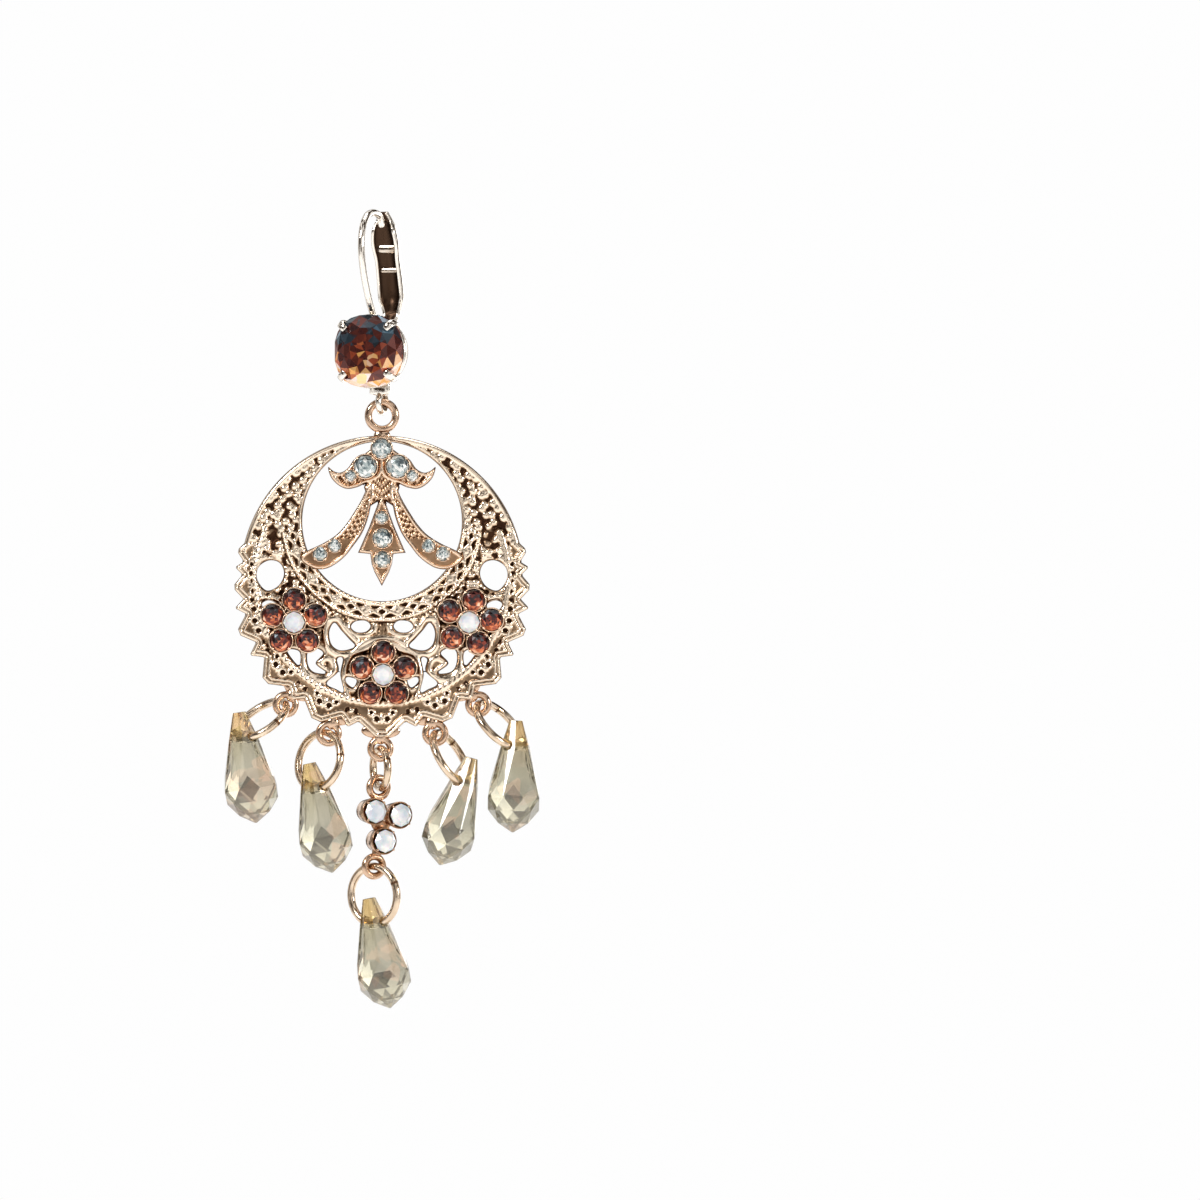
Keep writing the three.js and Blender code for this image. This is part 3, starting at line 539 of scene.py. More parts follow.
def setting_beads(places, share, size, rings=5, turns=8):
    """Small round beads, four to a stone, on its edge at the diagonals."""
    quarter = np.radians(45 + 90 * np.arange(4))
    x0, z0, radius, back = places.T[:, :, None]
    centre = np.stack([
        x0 + share * radius * np.cos(quarter), np.broadcast_to(back - 0.3, (len(places), 4)),
        z0 + share * radius * np.sin(quarter)], axis=-1).reshape(-1, 1, 3)
    polar = np.pi * (np.arange(rings) + 0.5) / rings
    around = 2 * np.pi * np.arange(turns) / turns
    ball = np.stack([
        np.outer(np.sin(polar), np.cos(around)), np.outer(np.cos(polar), np.ones(turns)),
        np.outer(np.sin(polar), np.sin(around))], axis=-1).reshape(-1, 3)
    points = (centre + size * ball).reshape(-1, 3)
    return points, grid_faces(rings, turns, False, True, len(centre)), np.full(len(points), 0.1)


def merge_shapes(*shapes):
    """Joins arrays of points, faces and hollows into one mesh's arrays."""
    starts = np.cumsum([0] + [len(points) for points, _, _ in shapes[:-1]])
    return (np.concatenate([points for points, _, _ in shapes]),
            np.concatenate([faces + start for (_, faces, _), start in zip(shapes, starts)]),
            np.concatenate([hollow for _, _, hollow in shapes]))


def close_ends(piece):
    """Fills the small round openings left at the poles of beads and the tips of turned pieces."""
    shape = bmesh.new()
    shape.from_mesh(piece.data)
    bmesh.ops.remove_doubles(shape, verts=shape.verts, dist=1e-7)
    bmesh.ops.holes_fill(shape, edges=[e for e in shape.edges if e.is_boundary], sides=64)
    bmesh.ops.recalc_face_normals(shape, faces=shape.faces)
    shape.to_mesh(piece.data)
    shape.free()


def metal_piece(name, shape, material, body, slot, replaced):
    """A closed metal piece from arrays of points, faces and hollows."""
    points, faces, hollow = shape
    piece = add_piece(name, points, faces, hollow=hollow)
    close_ends(piece)
    finish_piece(piece, material, body, slot, replaced)


frame_stones = stone_places(("flower_", "dart_stone", "ribbon_", "wing_", "top_stone"))
shape = merge_shapes(setting_cups(frame_stones), setting_beads(frame_stones, BEAD_SHARE, BEAD_R))
metal_piece("stone_settings", shape, PALMETTE_METAL, "pendant", "frame_metal", "crescent_frame")

# ---- Lugs and hanging ring -----------------------------------------------------------------------
# Five round wire lugs are soldered under the border by short necks, and a stouter wire ring stands
# on the top of the rim. The solder is left as a smooth lump, and all of it is plated with the frame.

LUGS = {
    "outer_left": (-11.3, -14.9), "inner_left": (-6.25, -18.3), "centre": (-0.18, -20.1),
    "inner_right": (6.25, -18.3), "outer_right": (11.3, -14.9),
}
LUG_R, LUG_WIRE = 1.15, 0.42
NECK, WEB, CENTRE_WEB = (0.85, 0.5, 0.85), (1.8, 0.32, 0.95), (2.3, 0.32, 0.95)
TOP_RING_Z, TOP_RING_R, TOP_RING_WIRE, TOP_LUMP_Z = 18.97, 1.6, 0.45, 16.6


def wire_loop(centre, across, up, radius, wire, turns=48, sides=14):
    """A wire ring: a circle of the wire's radius carried round a circle in the plane of across and up."""
    a = full_turn(turns)[:, None, None]
    b = full_turn(sides)[None, :, None]
    spoke = np.cos(a) * np.asarray(across) + np.sin(a) * np.asarray(up)
    facing = np.cross(across, up)
    points = np.asarray(centre) + (radius + wire * np.cos(b)) * spoke + wire * np.sin(b) * facing
    hollow = np.tile(0.25 - 0.25 * np.cos(b.ravel()), turns)
    return points.reshape(-1, 3), grid_faces(turns, sides, True, True), hollow


def lump(centre, half_sizes, lean=0.0, turns=24, rings=12):
    """A smooth lump of solder: a ball stretched by three half sizes and leant in the front plane."""
    polar = np.pi * (np.arange(rings) + 0.5)[:, None] / rings
    around = 2 * np.pi * np.arange(turns)[None, :] / turns
    ball = np.stack([np.sin(polar) * np.cos(around), np.sin(polar) * np.sin(around),
                     np.cos(polar) + 0 * around], axis=-1) * half_sizes
    cos, sin = np.cos(lean), np.sin(lean)
    points = np.stack([cos * ball[..., 0] + sin * ball[..., 2], ball[..., 1],
                       cos * ball[..., 2] - sin * ball[..., 0]], axis=-1) + np.asarray(centre)
    return points.reshape(-1, 3), grid_faces(rings, turns, False, True), np.full(rings * turns, 0.3)


shapes = []
for name, (x, z) in LUGS.items():
    out = np.array([x, 0, z]) / np.hypot(x, z)
    lean = np.arctan2(-x, -z)
    web = CENTRE_WEB if name == "centre" else WEB
    shapes += [wire_loop((x, 0, z), RIGHT, UP, LUG_R, LUG_WIRE, 40, 12),
               lump(np.array([x, 0, z]) - out * (LUG_R + 0.2), NECK, lean),
               lump(np.array([x, 0.12, z]) - out * (LUG_R + 0.95), web, lean)]
shapes += [wire_loop((0, 0, TOP_RING_Z), RIGHT, UP, TOP_RING_R, TOP_RING_WIRE, 64, 16),
           lump((0, 0.02, TOP_LUMP_Z), (1.0, 0.42, 0.85))]
points, faces, _ = merge_shapes(*shapes)
lugs = add_piece("frame_lugs", points + FRAME_CENTRE, faces)
close_ends(lugs)
LUG_METAL = cast_metal("soldered_lug_metal", (0.70, 0.49, 0.35), (0.05, 0.022, 0.012), 0.14)
finish_piece(lugs, LUG_METAL, "pendant", "frame_metal", "crescent_frame")

# ---- Flower and palmette stones ------------------------------------------------------------------
# The petals are rust-red foiled crystals round a milky opal glass cabochon, three flowers in all.
# The palmette carries smaller clear crystals on grey foil. All are pressed glass, held by beads.
# The cut crystals' facets carry painted glints and painted dark reflections.

SMALL_CUT = [  # share of the radius, share of the rise, and turn in half facets, from back to table
    (0.85, 0.0, 0), (1.0, 0.3, 0), (0.98, 0.42, 1), (0.8, 0.76, 0), (0.58, 1.0, 1), (0.3, 1.0, 0),
    (0.0, 1.0, 0),
]


def cut_stones(places, rise, cut, sides, seed, spread, power=2.0):
    """Cut stones as separate flat facets, each with its own painted light.

    Rings of corners follow the cut, and two triangles a side join each ring to the next. Each ring
    is a circle, or a rounded square where power is over 2. A facet's painted light is brightest at
    the stone's foot, for painted glints, and falls towards its head, for painted dark reflections,
    and is then pushed by chance.
    """
    share, height, half = np.array(cut).T
    angle = (2 * np.arange(sides) + half[:, None]) * np.pi / sides
    bulge = (np.abs(np.cos(angle)) ** power + np.abs(np.sin(angle)) ** power) ** (-1 / power)
    ring = share[:, None] * bulge
    corner = np.stack([ring * np.cos(angle), ring * np.sin(angle), height[:, None] + 0 * ring], axis=-1)
    after = np.roll(corner, -1, axis=1)
    lead = (half[1:] > half[:-1])[:, None, None]
    first = np.stack([corner[:-1], after[:-1], np.where(lead, corner[1:], after[1:])], axis=2)
    second = np.stack([corner[1:], np.where(lead, after[:-1], corner[:-1]), after[1:]], axis=2)
    back = np.stack([0 * corner[0] + [0, 0, height[0]], after[0], corner[0]], axis=1)
    facets = np.concatenate([first.reshape(-1, 3, 3), second.reshape(-1, 3, 3), back])
    area = np.linalg.norm(np.cross(facets[:, 1] - facets[:, 0], facets[:, 2] - facets[:, 0]), axis=1)
    facets = facets[area > 1e-7]
    x0, z0, radius, rear = places.T[:, :, None, None]
    points = np.stack([x0 + radius * facets[..., 0], rear - rise * facets[..., 2],
                       z0 + radius * facets[..., 1]], axis=-1)
    chance = np.random.default_rng(seed).random(points.shape[:2])
    # Painted light: painted glints towards the foot, painted dark reflections towards the head.
    foot = 0.5 - 0.55 * facets[:, :, 1].mean(axis=1)
    tint = np.clip(0.04 + 0.9 * foot + spread * (chance - 0.5), 0, 1)
    faces = np.arange(points[..., 0].size).reshape(-1, 3)
    return points.reshape(-1, 3), faces, np.repeat(tint.ravel(), 3)


def crystal(name, tones, cell):
    """Foiled cut glass: each facet's painted light picks its tone, painted glint cells break it up,
    and a gloss coat lies over all."""
    material, tree, place = new_material(name)
    tint = add_node(tree, "Attribute", {}, "Fac", attribute_name="tint")
    # Voronoi cells painted as sparkle: they push each facet's painted light up or down.
    glint_cells = add_node(tree, "TexVoronoi", {"Scale": 1 / (cell * MM), "Vector": place}, "Color")
    chance = add_node(tree, "SeparateColor", {"Color": glint_cells}, "Red")
    stirred = add_node(tree, "Math", {0: chance, 1: 0.3, 2: tint}, operation="MULTIPLY_ADD")
    share = add_node(tree, "MapRange", {"Value": stirred, "From Max": 1.25})
    dust = add_node(tree, "TexNoise", {"Scale": 900.0, "Vector": place}, "Fac")
    fill(tree, tree.nodes["Principled BSDF"], {
        "Metallic": 0.5, "Coat Weight": 0.45, "Coat Roughness": 0.02,
        "Base Color": add_ramp(tree, share, list(zip(np.linspace(0, 1, len(tones)), tones))),
        "Roughness": add_node(tree, "MapRange", {"Value": dust, "To Min": 0.05, "To Max": 0.25}),
        "Coat Normal": add_node(tree, "Bump", {"Strength": 0.3, "Distance": 0.00004, "Height": dust})})
    return material


def stone_piece(name, shape, material, body, slot, nodes):
    points, faces, tint = shape
    stones = add_piece(name, points, faces, smooth=False, tint=tint)
    finish_piece(stones, material, body, slot, *nodes)


def opal_glass(name):
    """Milky glass: near white with pale blue clouds, lit a little from within."""
    material, tree, place = new_material(name)
    cloud = add_node(tree, "TexNoise", {"Scale": 700.0, "Detail": 3.0, "Vector": place}, "Fac")
    fill(tree, tree.nodes["Principled BSDF"], {
        "Coat Weight": 0.7, "Subsurface Weight": 0.35, "Subsurface Scale": 0.0006,
        "Base Color": add_ramp(tree, cloud, [(0.35, (0.58, 0.66, 0.74)), (0.68, (0.95, 0.93, 0.92))]),
        "Roughness": add_node(tree, "MapRange", {"Value": cloud, "To Min": 0.08, "To Max": 0.35})})
    return material


def refinish(prefixes, material):
    """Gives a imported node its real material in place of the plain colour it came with."""
    for name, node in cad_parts.items():
        if name.startswith(prefixes):
            node.data.materials.clear()
            node.data.materials.append(material)


def nodes_named(prefixes):
    return [name for name in sorted(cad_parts) if name.startswith(prefixes)]


# Tones from low to high painted light: painted steel-grey and dark reflections, the rust-red of the glass,
# then painted orange and peach glints.
RUST_CRYSTAL = crystal("rust_crystal", [
    (0.20, 0.24, 0.28), (0.012, 0.008, 0.010), (0.020, 0.006, 0.008), (0.08, 0.012, 0.010),
    (0.28, 0.04, 0.02), (0.80, 0.22, 0.08), (1.0, 0.64, 0.44)], 0.9)
# Tones from low to high painted light: painted dark reflections, the grey-teal of the foil, then painted
# white glints.
CLEAR_CRYSTAL = crystal("clear_crystal", [
    (0.05, 0.07, 0.08), (0.20, 0.26, 0.28), (0.55, 0.62, 0.61), (0.38, 0.46, 0.47), (0.92, 0.93, 0.91),
    (1.0, 1.0, 0.98)], 0.4)
OPAL_GLASS = opal_glass("opal_glass")
SMALL_RISE, SMALL_SIDES = 0.8, 8
PETALS = ("flower_left_petal", "flower_centre_petal", "flower_right_petal")
PALE = ("dart_stone", "ribbon_", "wing_", "top_stone")
stone_piece("petal_stones", cut_stones(stone_places(PETALS), SMALL_RISE, SMALL_CUT, SMALL_SIDES, 5, 0.7),
            RUST_CRYSTAL, "pendant", "rust_stone", nodes_named(PETALS))
stone_piece("palmette_stones", cut_stones(stone_places(PALE), SMALL_RISE, SMALL_CUT, SMALL_SIDES, 11, 1.5),
            CLEAR_CRYSTAL, "pendant", "clear_stone", nodes_named(PALE))
refinish(("flower_left_opal", "flower_centre_opal", "flower_right_opal"), OPAL_GLASS)

# ---- Trefoil link --------------------------------------------------------------------------------
# Three turned cups of opal glass are soldered edge to edge into a small trefoil, with a wire loop
# above and below. It hangs turned a little aside, so the brown sides of its cups show.

TREFOIL_X, TREFOIL_TURN = -0.6, np.radians(27)
TREFOIL_CUPS = [(-0.86, -27.4), (2.39, -27.9), (0.35, -30.9)]
TREFOIL_TOP, TREFOIL_BOTTOM, LOOP_NECK = (0.21, -24.65), (-0.38, -33.9), (0.6, 0.4, 0.7)
OPAL_R, OPAL_BACK = 1.36, -1.35
CUP_PROFILE = [  # reach and front-to-back place of the cup's wall, from the back's middle to its inside
    (0.0, 1.2), (1.1, 1.2), (1.3, 1.1), (1.38, 0.6), (1.52, -0.5), (1.56, -0.6), (1.5, -0.72), (1.6, -1.05),
    (1.62, -1.25), (1.55, -1.36), (1.45, -1.3), (1.3, -1.15), (0.0, -1.1),
]


def turned_shape(centre, profile, turns=32):
    """A turned solid: the profile of reach and depth goes round a front-to-back axis."""
    reach, depth = np.array(profile).T
    angle = full_turn(turns)[:, None]
    points = np.stack([centre[0] + reach * np.cos(angle), centre[1] + depth + 0 * angle,
                       centre[2] + reach * np.sin(angle)], axis=-1)
    hollow = np.tile(0.5 * (np.gradient(reach) < -0.05), turns)
    return points.reshape(-1, 3), grid_faces(turns, len(reach), True, False), hollow


def turned_upright(points, angle):
    """Turns points about the upright axis."""
    x, y, z = np.asarray(points).T
    cos, sin = np.cos(angle), np.sin(angle)
    return np.stack([x * cos - y * sin, x * sin + y * cos, z], axis=-1)


def on_trefoil(points):
    """Turns points with the trefoil, then moves them to its place on the frame."""
    return turned_upright(points, TREFOIL_TURN) + TREFOIL_X * RIGHT + FRAME_CENTRE


cup_places = np.array([(x, z, OPAL_R, OPAL_BACK) for x, z in TREFOIL_CUPS])
points, faces, hollow = merge_shapes(
    *(turned_shape((x, 0, z), CUP_PROFILE) for x, z in TREFOIL_CUPS),
    setting_beads(cup_places, 1.06, 0.16),
    wire_loop((TREFOIL_TOP[0], 0, TREFOIL_TOP[1]), RIGHT, UP, LUG_R, LUG_WIRE, 40, 12),
    wire_loop((TREFOIL_BOTTOM[0], 0, TREFOIL_BOTTOM[1]), RIGHT, UP, LUG_R, LUG_WIRE, 40, 12),
    lump((TREFOIL_TOP[0] - 0.25, 0, TREFOIL_TOP[1] - 1.6), LOOP_NECK),
    lump((TREFOIL_BOTTOM[0] + 0.35, 0, TREFOIL_BOTTOM[1] + 1.6), LOOP_NECK),
    lump((0.6, 0.2, -28.7), (1.3, 0.55, 1.3)))
metal_piece("trefoil_cups", (on_trefoil(points), faces, hollow),
            LUG_METAL, "pendant", "ring_metal", "trefoil_link")
refinish(("trefoil_opal",), OPAL_GLASS)

# ---- Jump rings ----------------------------------------------------------------------------------
# Six round wire rings, bright plated: one large ring through each lug carries a drop, and a smaller
# one joins the middle lug to the trefoil. Each is bent shut, with a fine butt joint.

RING_R, RING_WIRE, LINK_RING_R, LINK_TILT = 3.4, 0.46, 2.3, 66
RING_TURNS, RING_SIDES, JOINT_TURN = 96, 18, 31
HANGERS = {  # lean and tilt of the ring's plane, in degrees
    "outer_left": (-58, 66), "inner_left": (-19, 44), "inner_right": (32, -71), "outer_right": (45, -68),
    "bottom": (0, 36),
}


def hanging_ring(hook, lean, tilt, radius):
    """A ring hung from a hook point: one axis leans in the front plane, and the other is tilted."""
    lean, tilt = np.radians(lean), np.radians(tilt)
    along = np.array([np.sin(lean), 0, -np.cos(lean)])
    cross = np.array([np.cos(lean) * np.cos(tilt), -np.sin(tilt), np.sin(lean) * np.cos(tilt)])
    centre = np.asarray(hook) + radius * along
    points, faces, _ = wire_loop(centre, along, cross, radius, RING_WIRE, RING_TURNS, RING_SIDES)
    joint = np.arange(len(points)) // RING_SIDES == JOINT_TURN
    return points + FRAME_CENTRE, faces, np.where(joint, 0.9, 0.17)


RING_METAL = cast_metal("bright_ring_metal", (0.93, 0.77, 0.60), (0.14, 0.07, 0.04), 0.08)
trefoil_hook = on_trefoil([(TREFOIL_BOTTOM[0], 0, TREFOIL_BOTTOM[1])])[0] - FRAME_CENTRE
for name, (lean, tilt) in HANGERS.items():
    hook = (LUGS[name][0], 0, LUGS[name][1]) if name in LUGS else trefoil_hook
    metal_piece("ring_" + name, hanging_ring(hook, lean, tilt, RING_R),
                RING_METAL, "pendant", "ring_metal", "jump_ring_" + name)
metal_piece("ring_link", hanging_ring((LUGS["centre"][0], 0, LUGS["centre"][1]), 0, LINK_TILT, LINK_RING_R),
            RING_METAL, "pendant", "ring_metal", "link_ring")

# ---- Glass drops ---------------------------------------------------------------------------------
# Five faceted pear drops of grey-olive champagne glass, drilled through the top for their rings and
# fire polished. The glass is clear enough to show the far facets, and its top is tinted golden. Its
# foot carries a painted highlight, and a few cells carry painted warm glints.


def drop_glass():
    """Clear glass tinted by its base colour: golden at the drilled top and grey-olive in the belly, with
    a painted highlight at the foot and a few cells painted with warm glints."""
    material, tree, place = new_material("champagne_drop_glass")
    down = add_node(tree, "Attribute", {}, "Fac", attribute_name="down")
    swirl = add_node(tree, "TexNoise", {"Scale": 260.0, "Vector": place}, "Fac")
    drift = add_node(tree, "Math", {0: swirl, 1: 0.16, 2: down}, operation="MULTIPLY_ADD")
    # Golden at the drilled top, grey-olive in the belly, and a painted highlight at the foot.
    tone = add_ramp(tree, drift, [
        (0.08, (0.74, 0.54, 0.24)), (0.28, (0.72, 0.52, 0.24)), (0.35, (0.46, 0.42, 0.29)),
        (0.72, (0.50, 0.48, 0.38)), (1.0, (0.92, 0.86, 0.64))])
    # A few cells painted with warm glints.
    glint_cells = add_node(tree, "TexVoronoi", {"Scale": 480.0, "Vector": place}, "Color")
    chance = add_node(tree, "SeparateColor", {"Color": glint_cells}, "Red")
    painted_glint = add_node(tree, "MapRange", {"Value": chance, "From Min": 0.8, "From Max": 0.86, "To Max": 0.55})
    tone = add_node(tree, "MixRGB", {"Fac": painted_glint, "Color1": tone, "Color2": (1.0, 0.66, 0.46, 1)})
    fill(tree, tree.nodes["Principled BSDF"], {
        "IOR": 1.56, "Transmission Weight": 0.85, "Coat Weight": 0.6,
        "Base Color": tone,
        "Roughness": add_node(tree, "MapRange", {"Value": swirl, "To Min": 0.0, "To Max": 0.08})})
    return material


DROP_GLASS = drop_glass()
for name in HANGERS:
    drop = bpy.data.objects.new("glass_drop_" + name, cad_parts["drop_" + name].data.copy())
    bpy.context.scene.collection.objects.link(drop)
    drop.data.materials.clear()
    close_ends(drop)
    height = np.empty(len(drop.data.vertices) * 3)
    drop.data.vertices.foreach_get("co", height)
    height = height[2::3]
    share = (height.max() - height) / np.ptp(height)
    drop.data.attributes.new("down", "FLOAT", "POINT").data.foreach_set("value", share)
    drop.data.polygons.foreach_set("use_smooth", np.zeros(len(drop.data.polygons), bool))
    finish_piece(drop, DROP_GLASS, "pendant", "champagne_glass", "drop_" + name)

# ---- Ear hook ------------------------------------------------------------------------------------
# The bright hook is one soldered piece: a round bent ear wire, a turned cup with four claws for the
# main stone, a flat strap behind it with two hinge ears, and the eye that the pendant swings in.

HOOK_TURN = np.radians(-18)
EAR_WIRE_R = 0.4
EAR_WIRE = [
    (-0.7, -12.4), (-1.3, -11.2), (-2.6, -9.6), (-4.2, -6.8), (-5, -4), (-4.6, -1.6), (-3.3, -0.2),
    (-1.6, 0.38), (0, 0.4), (1.2, 0.1), (1.95, -0.9),
]
STONE_Z = -15.8
STONE_CUP = [
    (0, 0.75), (3.3, -1.3), (3.8, -1.85), (3.98, -2.0), (4.2, -2.02), (4.35, -1.9), (4.33, -1.6),
    (4.22, -1.4), (4.27, -1.25), (4.2, -0.9), (3.9, 0.2), (3.5, 0.85), (2.9, 1.15), (2.0, 1.2), (0, 1.2),
]
CLAW_DEPTH, CLAW_WIDTHS = 0.2, (0.52, 0.4)
CLAW = [(4.1, -0.6), (4.45, -1.6), (4.62, -2.6), (4.58, -3.2), (4.3, -3.62), (3.95, -3.78), (3.6, -3.78)]
EYE_PLACE, EYE_R, EYE_WIRE = (0, 2.0, -21.65), 1.17, 0.375
PIN_Y, PIN_Z, PIN_BORE, HINGE_EARS = 3.2, -14.0, 0.6, ((-1.4, -0.9), (0.9, 1.4))
EAR_ROUND, EAR_FORWARD, EAR_TALL = 1.1, 1.95, 1.15
STRAP, STRAP_HALVES = (1.3, -12.65, -20.6), (1.25, 0.4)
STRAP_FOOT, FOOT_HALVES = (1.6, -18.2, -20.6), (0.8, 0.68)


def carried_bar(path, across, half_width, half_depth, squareness=1.0, sides=20, hollow_at=0.0):
    """A bar: a round or squared section carried along a path, with domed ends.

    The section is half_width along the fixed direction across and half_depth along the path's own
    side. Its cosine and sine are raised to the power squareness, and both halves may change on the way.
    """
    path, across = np.asarray(path, float), np.asarray(across, float)
    tangent = np.gradient(path, axis=0)
    tangent /= np.linalg.norm(tangent, axis=1, keepdims=True)
    side = np.cross(tangent, across)
    side /= np.linalg.norm(side, axis=1, keepdims=True)
    width = np.broadcast_to(half_width, len(path)).astype(float)
    depth = np.broadcast_to(half_depth, len(path)).astype(float)
    dome = np.sin(np.linspace(0.08, np.pi / 2, 5))[:-1]
    reach = 0.6 * np.cos(np.linspace(0.08, np.pi / 2, 5))[:-1, None]
    first = path[:1] - reach * depth[0] * tangent[:1]
    last = path[-1:] + reach[::-1] * depth[-1] * tangent[-1:]
    path = np.vstack([first, path, last])
    side = np.vstack([np.repeat(side[:1], 4, 0), side, np.repeat(side[-1:], 4, 0)])
    width = np.concatenate([dome * width[0], width, dome[::-1] * width[-1]])
    depth = np.concatenate([dome * depth[0], depth, dome[::-1] * depth[-1]])
    turn = full_turn(sides)
    u = np.sign(np.cos(turn)) * np.abs(np.cos(turn)) ** squareness
    v = np.sign(np.sin(turn)) * np.abs(np.sin(turn)) ** squareness
    points = (path[:, None] + (width[:, None] * u)[..., None] * across
              + (depth[:, None] * v)[..., None] * side[:, None])
    faces = grid_faces(len(path), sides, False, True)[:, [0, 3, 2, 1]]
    return points.reshape(-1, 3), faces, np.full(len(path) * sides, hollow_at)


def pin_washer(reach_at, bore, left, right, turns=48):
    """A plate round the hinge pin: its edge is reach_at(angle) from the pin, with a small bevel."""
    angle = full_turn(turns)[:, None]
    low, high, edge = bore + 0 * angle, reach_at(angle), 0.1
    reach = np.hstack([low, low + edge, high - edge, high, high, high - edge, low + edge, low])
    place = np.array([left + edge, left, left, left + edge, right - edge, right, right, right - edge])
    points = np.stack([place + 0 * angle, PIN_Y + reach * np.cos(angle), PIN_Z + reach * np.sin(angle)],
                      axis=-1).reshape(-1, 3)
    return points, grid_faces(turns, len(place), True, True), np.full(len(points), 0.15)


def hook_turned(points):
    """Turns points by the angle at which the hook is worn."""
    return turned_upright(points, HOOK_TURN)


def hinge_ear_reach(angle):
    """Round behind the pin, and run forward to the strap in front of it."""
    back, up = np.cos(angle), np.abs(np.sin(angle))
    forward = np.minimum(EAR_FORWARD / np.maximum(-back, 1e-3), EAR_TALL / np.maximum(up, 1e-3))
    return np.where(back > 0, EAR_ROUND, np.maximum(forward, EAR_ROUND))


shapes = []
wire = smooth_path([(0, y, z) for y, z in EAR_WIRE])
shapes.append(carried_bar(wire, RIGHT, EAR_WIRE_R, EAR_WIRE_R, sides=24))
shapes.append(turned_shape((0, 0, STONE_Z), STONE_CUP, 64))
for quarter in np.radians([45, 135, 225, 315]):
    spoke = np.array([np.cos(quarter), 0, np.sin(quarter)])
    tangent_way = np.array([-np.sin(quarter), 0, np.cos(quarter)])
    bent = smooth_path([spoke * r + [0, y, STONE_Z] for r, y in CLAW])
    width = np.linspace(*CLAW_WIDTHS, len(bent))
    shapes.append(carried_bar(bent, tangent_way, width, CLAW_DEPTH, 0.8, 16))
for (depth, top, low), halves, steps in ((STRAP, STRAP_HALVES, 12), (STRAP_FOOT, FOOT_HALVES, 6)):
    line = np.stack([np.zeros(steps), np.full(steps, depth), np.linspace(top, low, steps)], axis=-1)
    shapes.append(carried_bar(line, RIGHT, *halves, 0.5, 24))
shapes += [pin_washer(hinge_ear_reach, PIN_BORE, *ends) for ends in HINGE_EARS]
shapes.append(wire_loop(EYE_PLACE, (0, 1, 0), UP, EYE_R, EYE_WIRE, 56, 16))
points, faces, hollow = merge_shapes(*shapes)
HOOK_METAL = cast_metal("bright_hook_metal", (0.96, 0.90, 0.82), (0.07, 0.04, 0.025), 0.07)
metal_piece("ear_hook_body", (hook_turned(points), faces, hollow),
            HOOK_METAL, "hook", "hook_metal", "ear_hook")
refinish(("hinge_pin",), HOOK_METAL)

# ---- Main stone ----------------------------------------------------------------------------------
# A burgundy brown cushion-cut crystal, foiled behind and as wide as its cup, sits under the four
# claws. Its head is painted with steel-blue and dark reflections, and its foot with pink and amber glints.

MAIN_CUT = [
    (0.5, -0.75, 0), (0.98, -0.06, 0), (1.0, 0.0, 0), (1.0, 0.1, 1), (0.86, 0.55, 0), (0.64, 0.96, 1),
    (0.46, 1.0, 0), (0.26, 1.0, 1), (0.0, 1.0, 0),
]
STONE_HALF, STONE_RISE, STONE_GIRDLE, STONE_SQUARE = 4.25, 1.15, -2.5, 2.5
# Tones from low to high painted light: painted steel-blue and dark reflections, the burgundy brown of the
# glass, then painted amber and pink-white glints.
BURGUNDY_CRYSTAL = crystal("burgundy_crystal", [
    (0.13, 0.25, 0.36), (0.02, 0.025, 0.03), (0.05, 0.08, 0.11), (0.06, 0.018, 0.015), (0.16, 0.035, 0.025),
    (0.07, 0.02, 0.02), (0.45, 0.09, 0.04), (0.95, 0.50, 0.14), (1.0, 0.80, 0.80), (1.0, 0.72, 0.36)], 1.1)
points, faces, tint = cut_stones(
    np.array([[0, STONE_Z, STONE_HALF, STONE_GIRDLE]]), STONE_RISE, MAIN_CUT, 12, 21, 0.5, STONE_SQUARE)
stone_piece("main_stone", (hook_turned(points), faces, tint), BURGUNDY_CRYSTAL, "hook", "burgundy_stone",
            ["cup_stone"])

# ---- Lever ---------------------------------------------------------------------------------------
# A pressed strip that closes on the ear wire from behind. Its sides are folded forward to stiffen
# it, two ribs cross it, and its foot is rolled into a knuckle that turns on the hinge pin.

LEVER_LINE = [  # depth, height and half width along the strip, from its tip to its knuckle
    (2.5, 0.7, 0.55), (2.8, -0.2, 1.0), (3.1, -1.2, 1.4), (3.6, -2.8, 1.6), (4.4, -4.6, 1.45),
    (5.2, -7, 1.5), (5.7, -9.4, 1.5), (5.2, -11.3, 1.0), (3.9, -13.6, 0.6),
]
LEVER_HALF, LEVER_FOLD, LEVER_WALL, LEVER_BEND = 0.25, 1.0, 0.4, 0.12
LEVER_RIBS = [(3.75, -3.5, 0.55), (4.6, -6.0, 0.36)]  # depth, height and half height
RIB_HALF, RIB_DEPTH, KNUCKLE_R, KNUCKLE_HALF = 1.05, 0.34, 1.15, 0.6


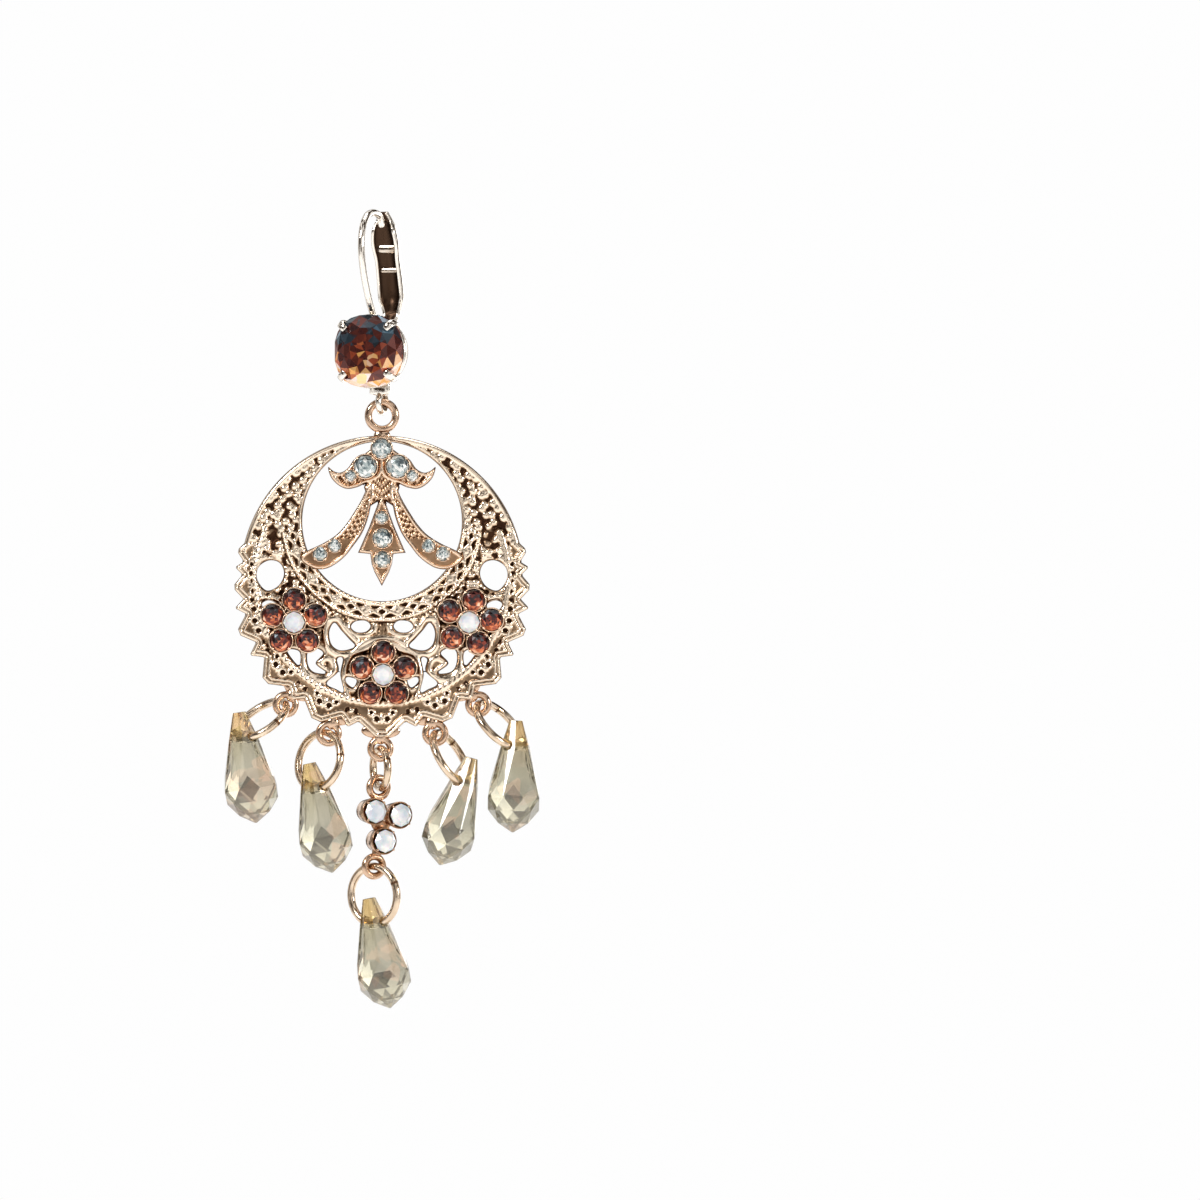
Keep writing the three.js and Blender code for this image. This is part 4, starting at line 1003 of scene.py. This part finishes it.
def folded_strip():
    """A channel section carried along the strip: a flat web whose two edges fold forward by a depth
    that grows from nothing at the tip and knuckle to the full fold between them."""
    line = smooth_path(LEVER_LINE, 7)
    slope = np.gradient(line[:, :2], axis=0)
    slope /= np.linalg.norm(slope, axis=1, keepdims=True)
    way = np.linspace(0, 1, len(line))
    fold = LEVER_HALF + 0.02 + (LEVER_FOLD - LEVER_HALF) * np.clip(
        np.minimum((way - 0.12) / 0.14, (0.88 - way) / 0.12), 0, 1)
    half = line[:, 2]
    inner = np.maximum(half - LEVER_WALL, 0.15)
    web, bend = np.full(len(line), LEVER_HALF), LEVER_BEND
    across = np.stack([-half + bend, half - bend, half, half, half - 0.1, inner + 0.1, inner, inner - 0.05,
                       -inner + 0.05, -inner, -inner - 0.1, -half + 0.1, -half, -half], axis=1)
    back = np.stack([web, web, web - bend, -fold + 0.1, -fold, -fold, -fold + 0.1, -web, -web, -fold + 0.1,
                     -fold, -fold, -fold + 0.1, web - bend], axis=1)
    points = np.stack([across, line[:, :1] - back * slope[:, 1:],
                       line[:, 1:2] + back * slope[:, :1]], axis=-1)
    corners = points.shape[1]
    faces = grid_faces(len(line), corners, False, True)[:, [0, 3, 2, 1]]
    inside = np.isin(np.arange(corners), (6, 7, 8, 9)) * 1.0
    return points.reshape(-1, 3), faces, np.tile(inside, len(line))


def knuckle_reach(angle):
    return np.full(angle.shape, KNUCKLE_R)


shapes = [folded_strip(), pin_washer(knuckle_reach, PIN_BORE, -KNUCKLE_HALF, KNUCKLE_HALF)]
for y, z, tall in LEVER_RIBS:
    rib = np.stack([np.linspace(-RIB_HALF, RIB_HALF, 8), np.full(8, y), np.full(8, z)], axis=-1)
    shapes.append(carried_bar(rib, UP, tall, RIB_DEPTH, 0.8, 16, 0.25))
points, faces, hollow = merge_shapes(*shapes)
metal_piece("lever_strip", (hook_turned(points), faces, hollow), HOOK_METAL, "lever", "hook_metal", "lever")

# ---- Studio --------------------------------------------------------------------------------------
# A plain pale floor well below the hanging earring, four soft boxes round it, a cloudy surround for
# the metal to mirror, and a long lens straight in front.

FLOOR_SIZE, FLOOR_Z = 2.4, -0.26
bpy.ops.mesh.primitive_plane_add(size=FLOOR_SIZE, location=(0, 0, FLOOR_Z))
floor = bpy.context.object
floor.name = "studio_floor"
paper, paper_tree, _ = new_material("pale_paper")
fibre = add_node(paper_tree, "TexNoise", {"Scale": 40.0}, "Fac")
fill(paper_tree, paper_tree.nodes["Principled BSDF"], {
    "Emission Color": (1.0, 1.0, 1.0, 1.0), "Emission Strength": 0.3,
    "Base Color": add_node(paper_tree, "MapRange", {"Value": fibre, "To Min": 0.9, "To Max": 0.95})})
floor.data.materials.append(paper)


def soft_light(name, place, aim, size, power, colour):
    """A square soft box of the given size in metres, turned to face a point."""
    light = bpy.data.lights.new(name, "AREA")
    light.size, light.energy, light.color = size, power, colour
    lamp = bpy.data.objects.new(name, light)
    lamp.location = place
    lamp.rotation_euler = (Vector(aim) - Vector(place)).to_track_quat("-Z", "Y").to_euler()
    bpy.context.scene.collection.objects.link(lamp)


MIDDLE = (0.0, 0.0, -0.045)
soft_light("front_left", (-0.5, -0.55, 0.4), MIDDLE, 0.22, 3.4, (1.0, 0.99, 0.97))
soft_light("front_right", (0.6, -0.35, 0.1), MIDDLE, 0.16, 1.4, (1.0, 0.98, 0.95))
soft_light("above", (0.05, 0.15, 0.6), MIDDLE, 0.35, 1.3, (1.0, 1.0, 1.0))
soft_light("behind", (0.3, 0.6, -0.05), MIDDLE, 0.4, 0.8, (1.0, 1.0, 1.0))

world = bpy.data.worlds.new("studio")
bpy.context.scene.world = world
world.use_nodes = True
sky = world.node_tree
around = add_node(sky, "TexCoord", {}, "Generated")
cloud = add_node(sky, "TexNoise", {"Scale": 3.2, "Detail": 1.0, "Vector": around}, "Fac")
bands = add_ramp(sky, cloud, [(0.465, (0.03, 0.017, 0.01)), (0.585, (1.0, 0.98, 0.95))])
seen = add_node(sky, "LightPath", {}, "Is Camera Ray")
fill(sky, sky.nodes["Background"], {
    "Color": add_node(sky, "MixRGB", {"Fac": seen, "Color1": bands, "Color2": (0.99, 0.99, 0.99, 1)})})
bpy.context.scene.view_settings.view_transform = "Standard"

camera_data = bpy.data.cameras.new("camera")
camera_data.lens, camera_data.sensor_width = 179.4, 36.0
camera_data.clip_start, camera_data.clip_end = 0.01, 20.0
camera = bpy.data.objects.new("camera", camera_data)
camera.location = (0.0262, -0.700, -0.04485)
camera.rotation_euler = (np.pi / 2, 0, 0)
bpy.context.scene.collection.objects.link(camera)
bpy.context.scene.camera = camera
